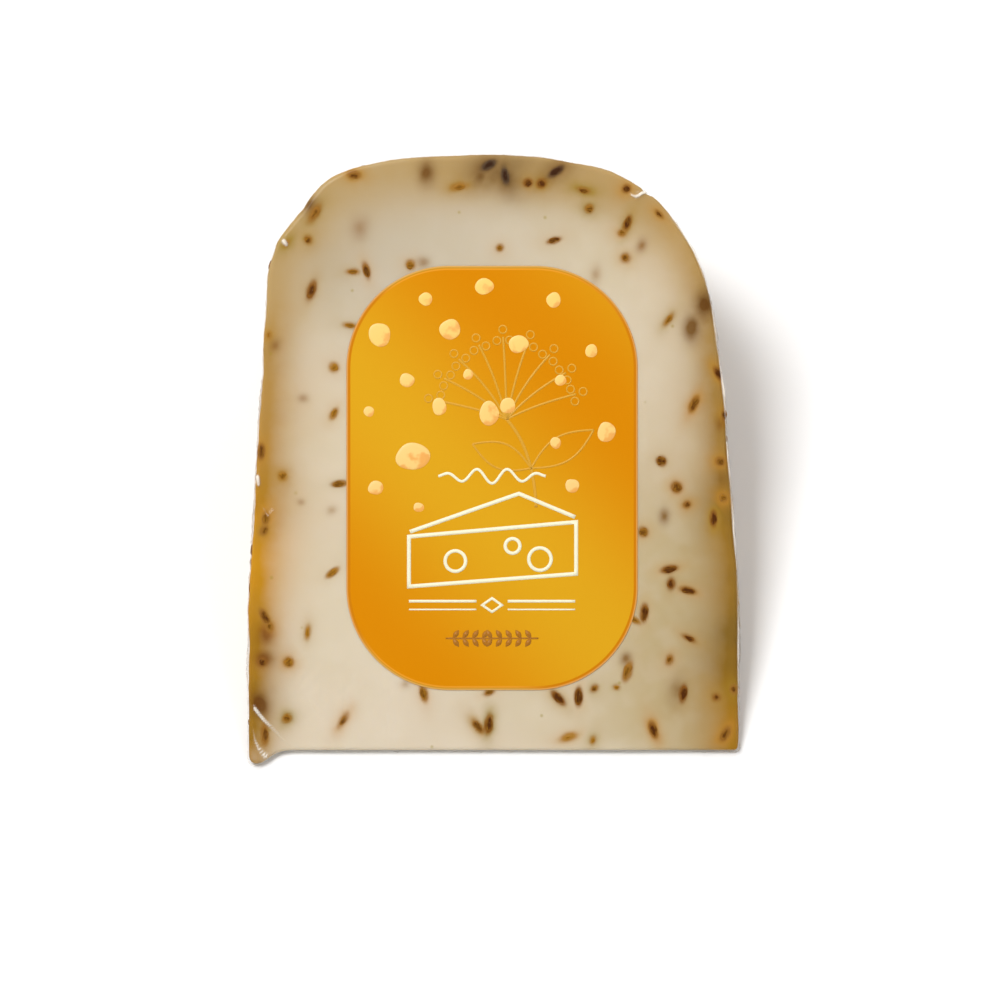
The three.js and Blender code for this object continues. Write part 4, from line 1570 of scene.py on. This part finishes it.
class CHEESE_OT_stage(bpy.types.Operator):
    """Make the floor, the lights and the camera"""

    bl_idname = "cheese.stage"
    bl_label = "Stage"

    def execute(self, context):
        settings = settings_of(context).stage
        make_floor(settings)
        make_lights(settings)
        make_camera()
        return {"FINISHED"}


# ---------- Stage ----------
VIEW_PLACE = (1.33 * MM, 51.1 * MM)  # where the camera looks on the front cut face, across and up
VIEW_WIDTH = 204.5 * MM  # how much the camera takes in there
VIEW_DISTANCE = 1.3  # of the camera, in metres


def make_floor(settings):
    """A wide square floor, as a coarse grid, at the height that the wedge lies on."""
    half, count = 3.0, 5
    side = np.linspace(-half, half, count)
    x, y = np.meshgrid(side, side)
    mesh = bpy.data.meshes.new("floor")
    index = np.arange(count**2).reshape(count, count)
    quads = np.stack([index[:-1, :-1], index[:-1, 1:], index[1:, 1:], index[1:, :-1]], axis=-1)
    corners = np.column_stack([x.ravel(), y.ravel(), np.zeros(count**2)])
    mesh.from_pydata(corners.tolist(), [], quads.reshape(-1, 4).tolist())
    floor = bpy.data.objects.new("floor", mesh)
    bpy.context.scene.collection.objects.link(floor)
    p = Paint("floor")
    grey = p.mix(0.5 * p.noise(0.4), settings.floor, shade("f4f4f4"))
    mesh.materials.append(p.finish(p.surface(Base_Color=grey, Roughness=0.9, Specular_IOR_Level=0.1)))
    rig.stage(floor)


def add_light(name, across, up, out, size, power):
    """A square lamp that stands over the front cut face and looks at its middle."""
    data = bpy.data.lights.new(name, "AREA")
    data.energy, data.size = power, size
    lamp = bpy.data.objects.new(name, data)
    target = Vector(on_front(*MIDDLE))
    lamp.location = Vector(on_front(MIDDLE[0] + across, MIDDLE[1] + up, out))
    lamp.rotation_euler = (target - lamp.location).to_track_quat("-Z", "Y").to_euler()
    bpy.context.scene.collection.objects.link(lamp)


def make_lights(settings):
    """A soft key light from the upper left, a weak fill from the right, a light behind the rim, and an even
    light from all around that dims towards the camera's side."""
    add_light("key_light", -0.42, 0.55, 1.0, 0.42, settings.key_power)
    add_light("fill_light", 0.9, -0.1, 0.9, 0.8, settings.fill_power)
    add_light("rim_light", 0.25, 1.5, 0.35, 0.6, settings.rim_power)
    world = bpy.data.worlds.new("studio")
    world.use_nodes = True
    nodes, links = world.node_tree.nodes, world.node_tree.links
    sky = nodes.new("ShaderNodeTexCoord")
    toward = nodes.new("ShaderNodeVectorMath")
    toward.operation = "DOT_PRODUCT"
    toward.inputs[1].default_value = tuple(FRONT_NORMAL)
    fade = nodes.new("ShaderNodeMapRange")
    fade.interpolation_type = "SMOOTHSTEP"
    for name, value in (("From Min", math.cos(math.radians(42))), ("From Max", math.cos(math.radians(24))),
                        ("To Min", settings.surround), ("To Max", settings.opening)):
        fade.inputs[name].default_value = value
    links.new(sky.outputs["Generated"], toward.inputs[0])
    links.new(toward.outputs["Value"], fade.inputs["Value"])
    links.new(fade.outputs["Result"], nodes["Background"].inputs["Strength"])
    nodes["Background"].inputs["Color"].default_value = (1, 1, 1, 1)
    bpy.context.scene.world = world


def make_camera():
    """A long lens square to the front cut face, so that the wedge's sides hide behind the face."""
    data = bpy.data.cameras.new("camera")
    data.lens = data.sensor_width * VIEW_DISTANCE / VIEW_WIDTH
    data.clip_start, data.clip_end = 0.01, 20
    camera = bpy.data.objects.new("camera", data)
    camera.location = Vector(on_front(*VIEW_PLACE, FILM_OUT + VIEW_DISTANCE))
    camera.rotation_euler = (WEDGE_ANGLE, 0, 0)
    scene = bpy.context.scene
    scene.collection.objects.link(camera)
    scene.camera = camera
    scene.view_settings.view_transform = "Standard"
    scene.view_settings.look = "None"


# ---------- Panel and registration ----------
class CHEESE_PT_panel(bpy.types.Panel):
    """Lists the pieces of the cheese wedge and their settings"""

    bl_idname = "CHEESE_PT_panel"
    bl_label = "Cheese wedge"
    bl_space_type = "VIEW_3D"
    bl_region_type = "UI"
    bl_category = "Cheese"

    def draw(self, context):
        settings = settings_of(context)
        for operator, group in (
            (CHEESE_OT_wedge, settings.cheese), (CHEESE_OT_seeds, None), (CHEESE_OT_film, settings.film),
            (CHEESE_OT_label, settings.label), (CHEESE_OT_stage, settings.stage),
        ):
            self.layout.operator(operator.bl_idname)
            for name in group.bl_rna.properties.keys() if group else ():
                if name not in ("rna_type", "name"):
                    self.layout.prop(group, name)


CLASSES = (
    CheeseSettings, FilmSettings, LabelSettings, StageSettings, CheeseWedgeSettings,
    CHEESE_OT_wedge, CHEESE_OT_seeds, CHEESE_OT_film, CHEESE_OT_label, CHEESE_OT_stage, CHEESE_PT_panel,
)


def register():
    for cls in CLASSES:
        bpy.utils.register_class(cls)
    bpy.types.Scene.cheese_wedge = PointerProperty(type=CheeseWedgeSettings)


def unregister():
    del bpy.types.Scene.cheese_wedge
    for cls in reversed(CLASSES):
        bpy.utils.unregister_class(cls)


def main():
    register()
    bpy.ops.cheese.stage()
    bpy.ops.cheese.wedge()
    bpy.ops.cheese.seeds()
    bpy.ops.cheese.film()
    bpy.ops.cheese.label()
    boxes = {
        name: [[float(value) for value in corner] for corner in box]
        for name, box in (("cad", CAD_BOX), ("visual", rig.bounds()))
    }
    with open("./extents.json", "w") as file:
        json.dump(boxes, file)


if __name__ == "__main__":
    main()
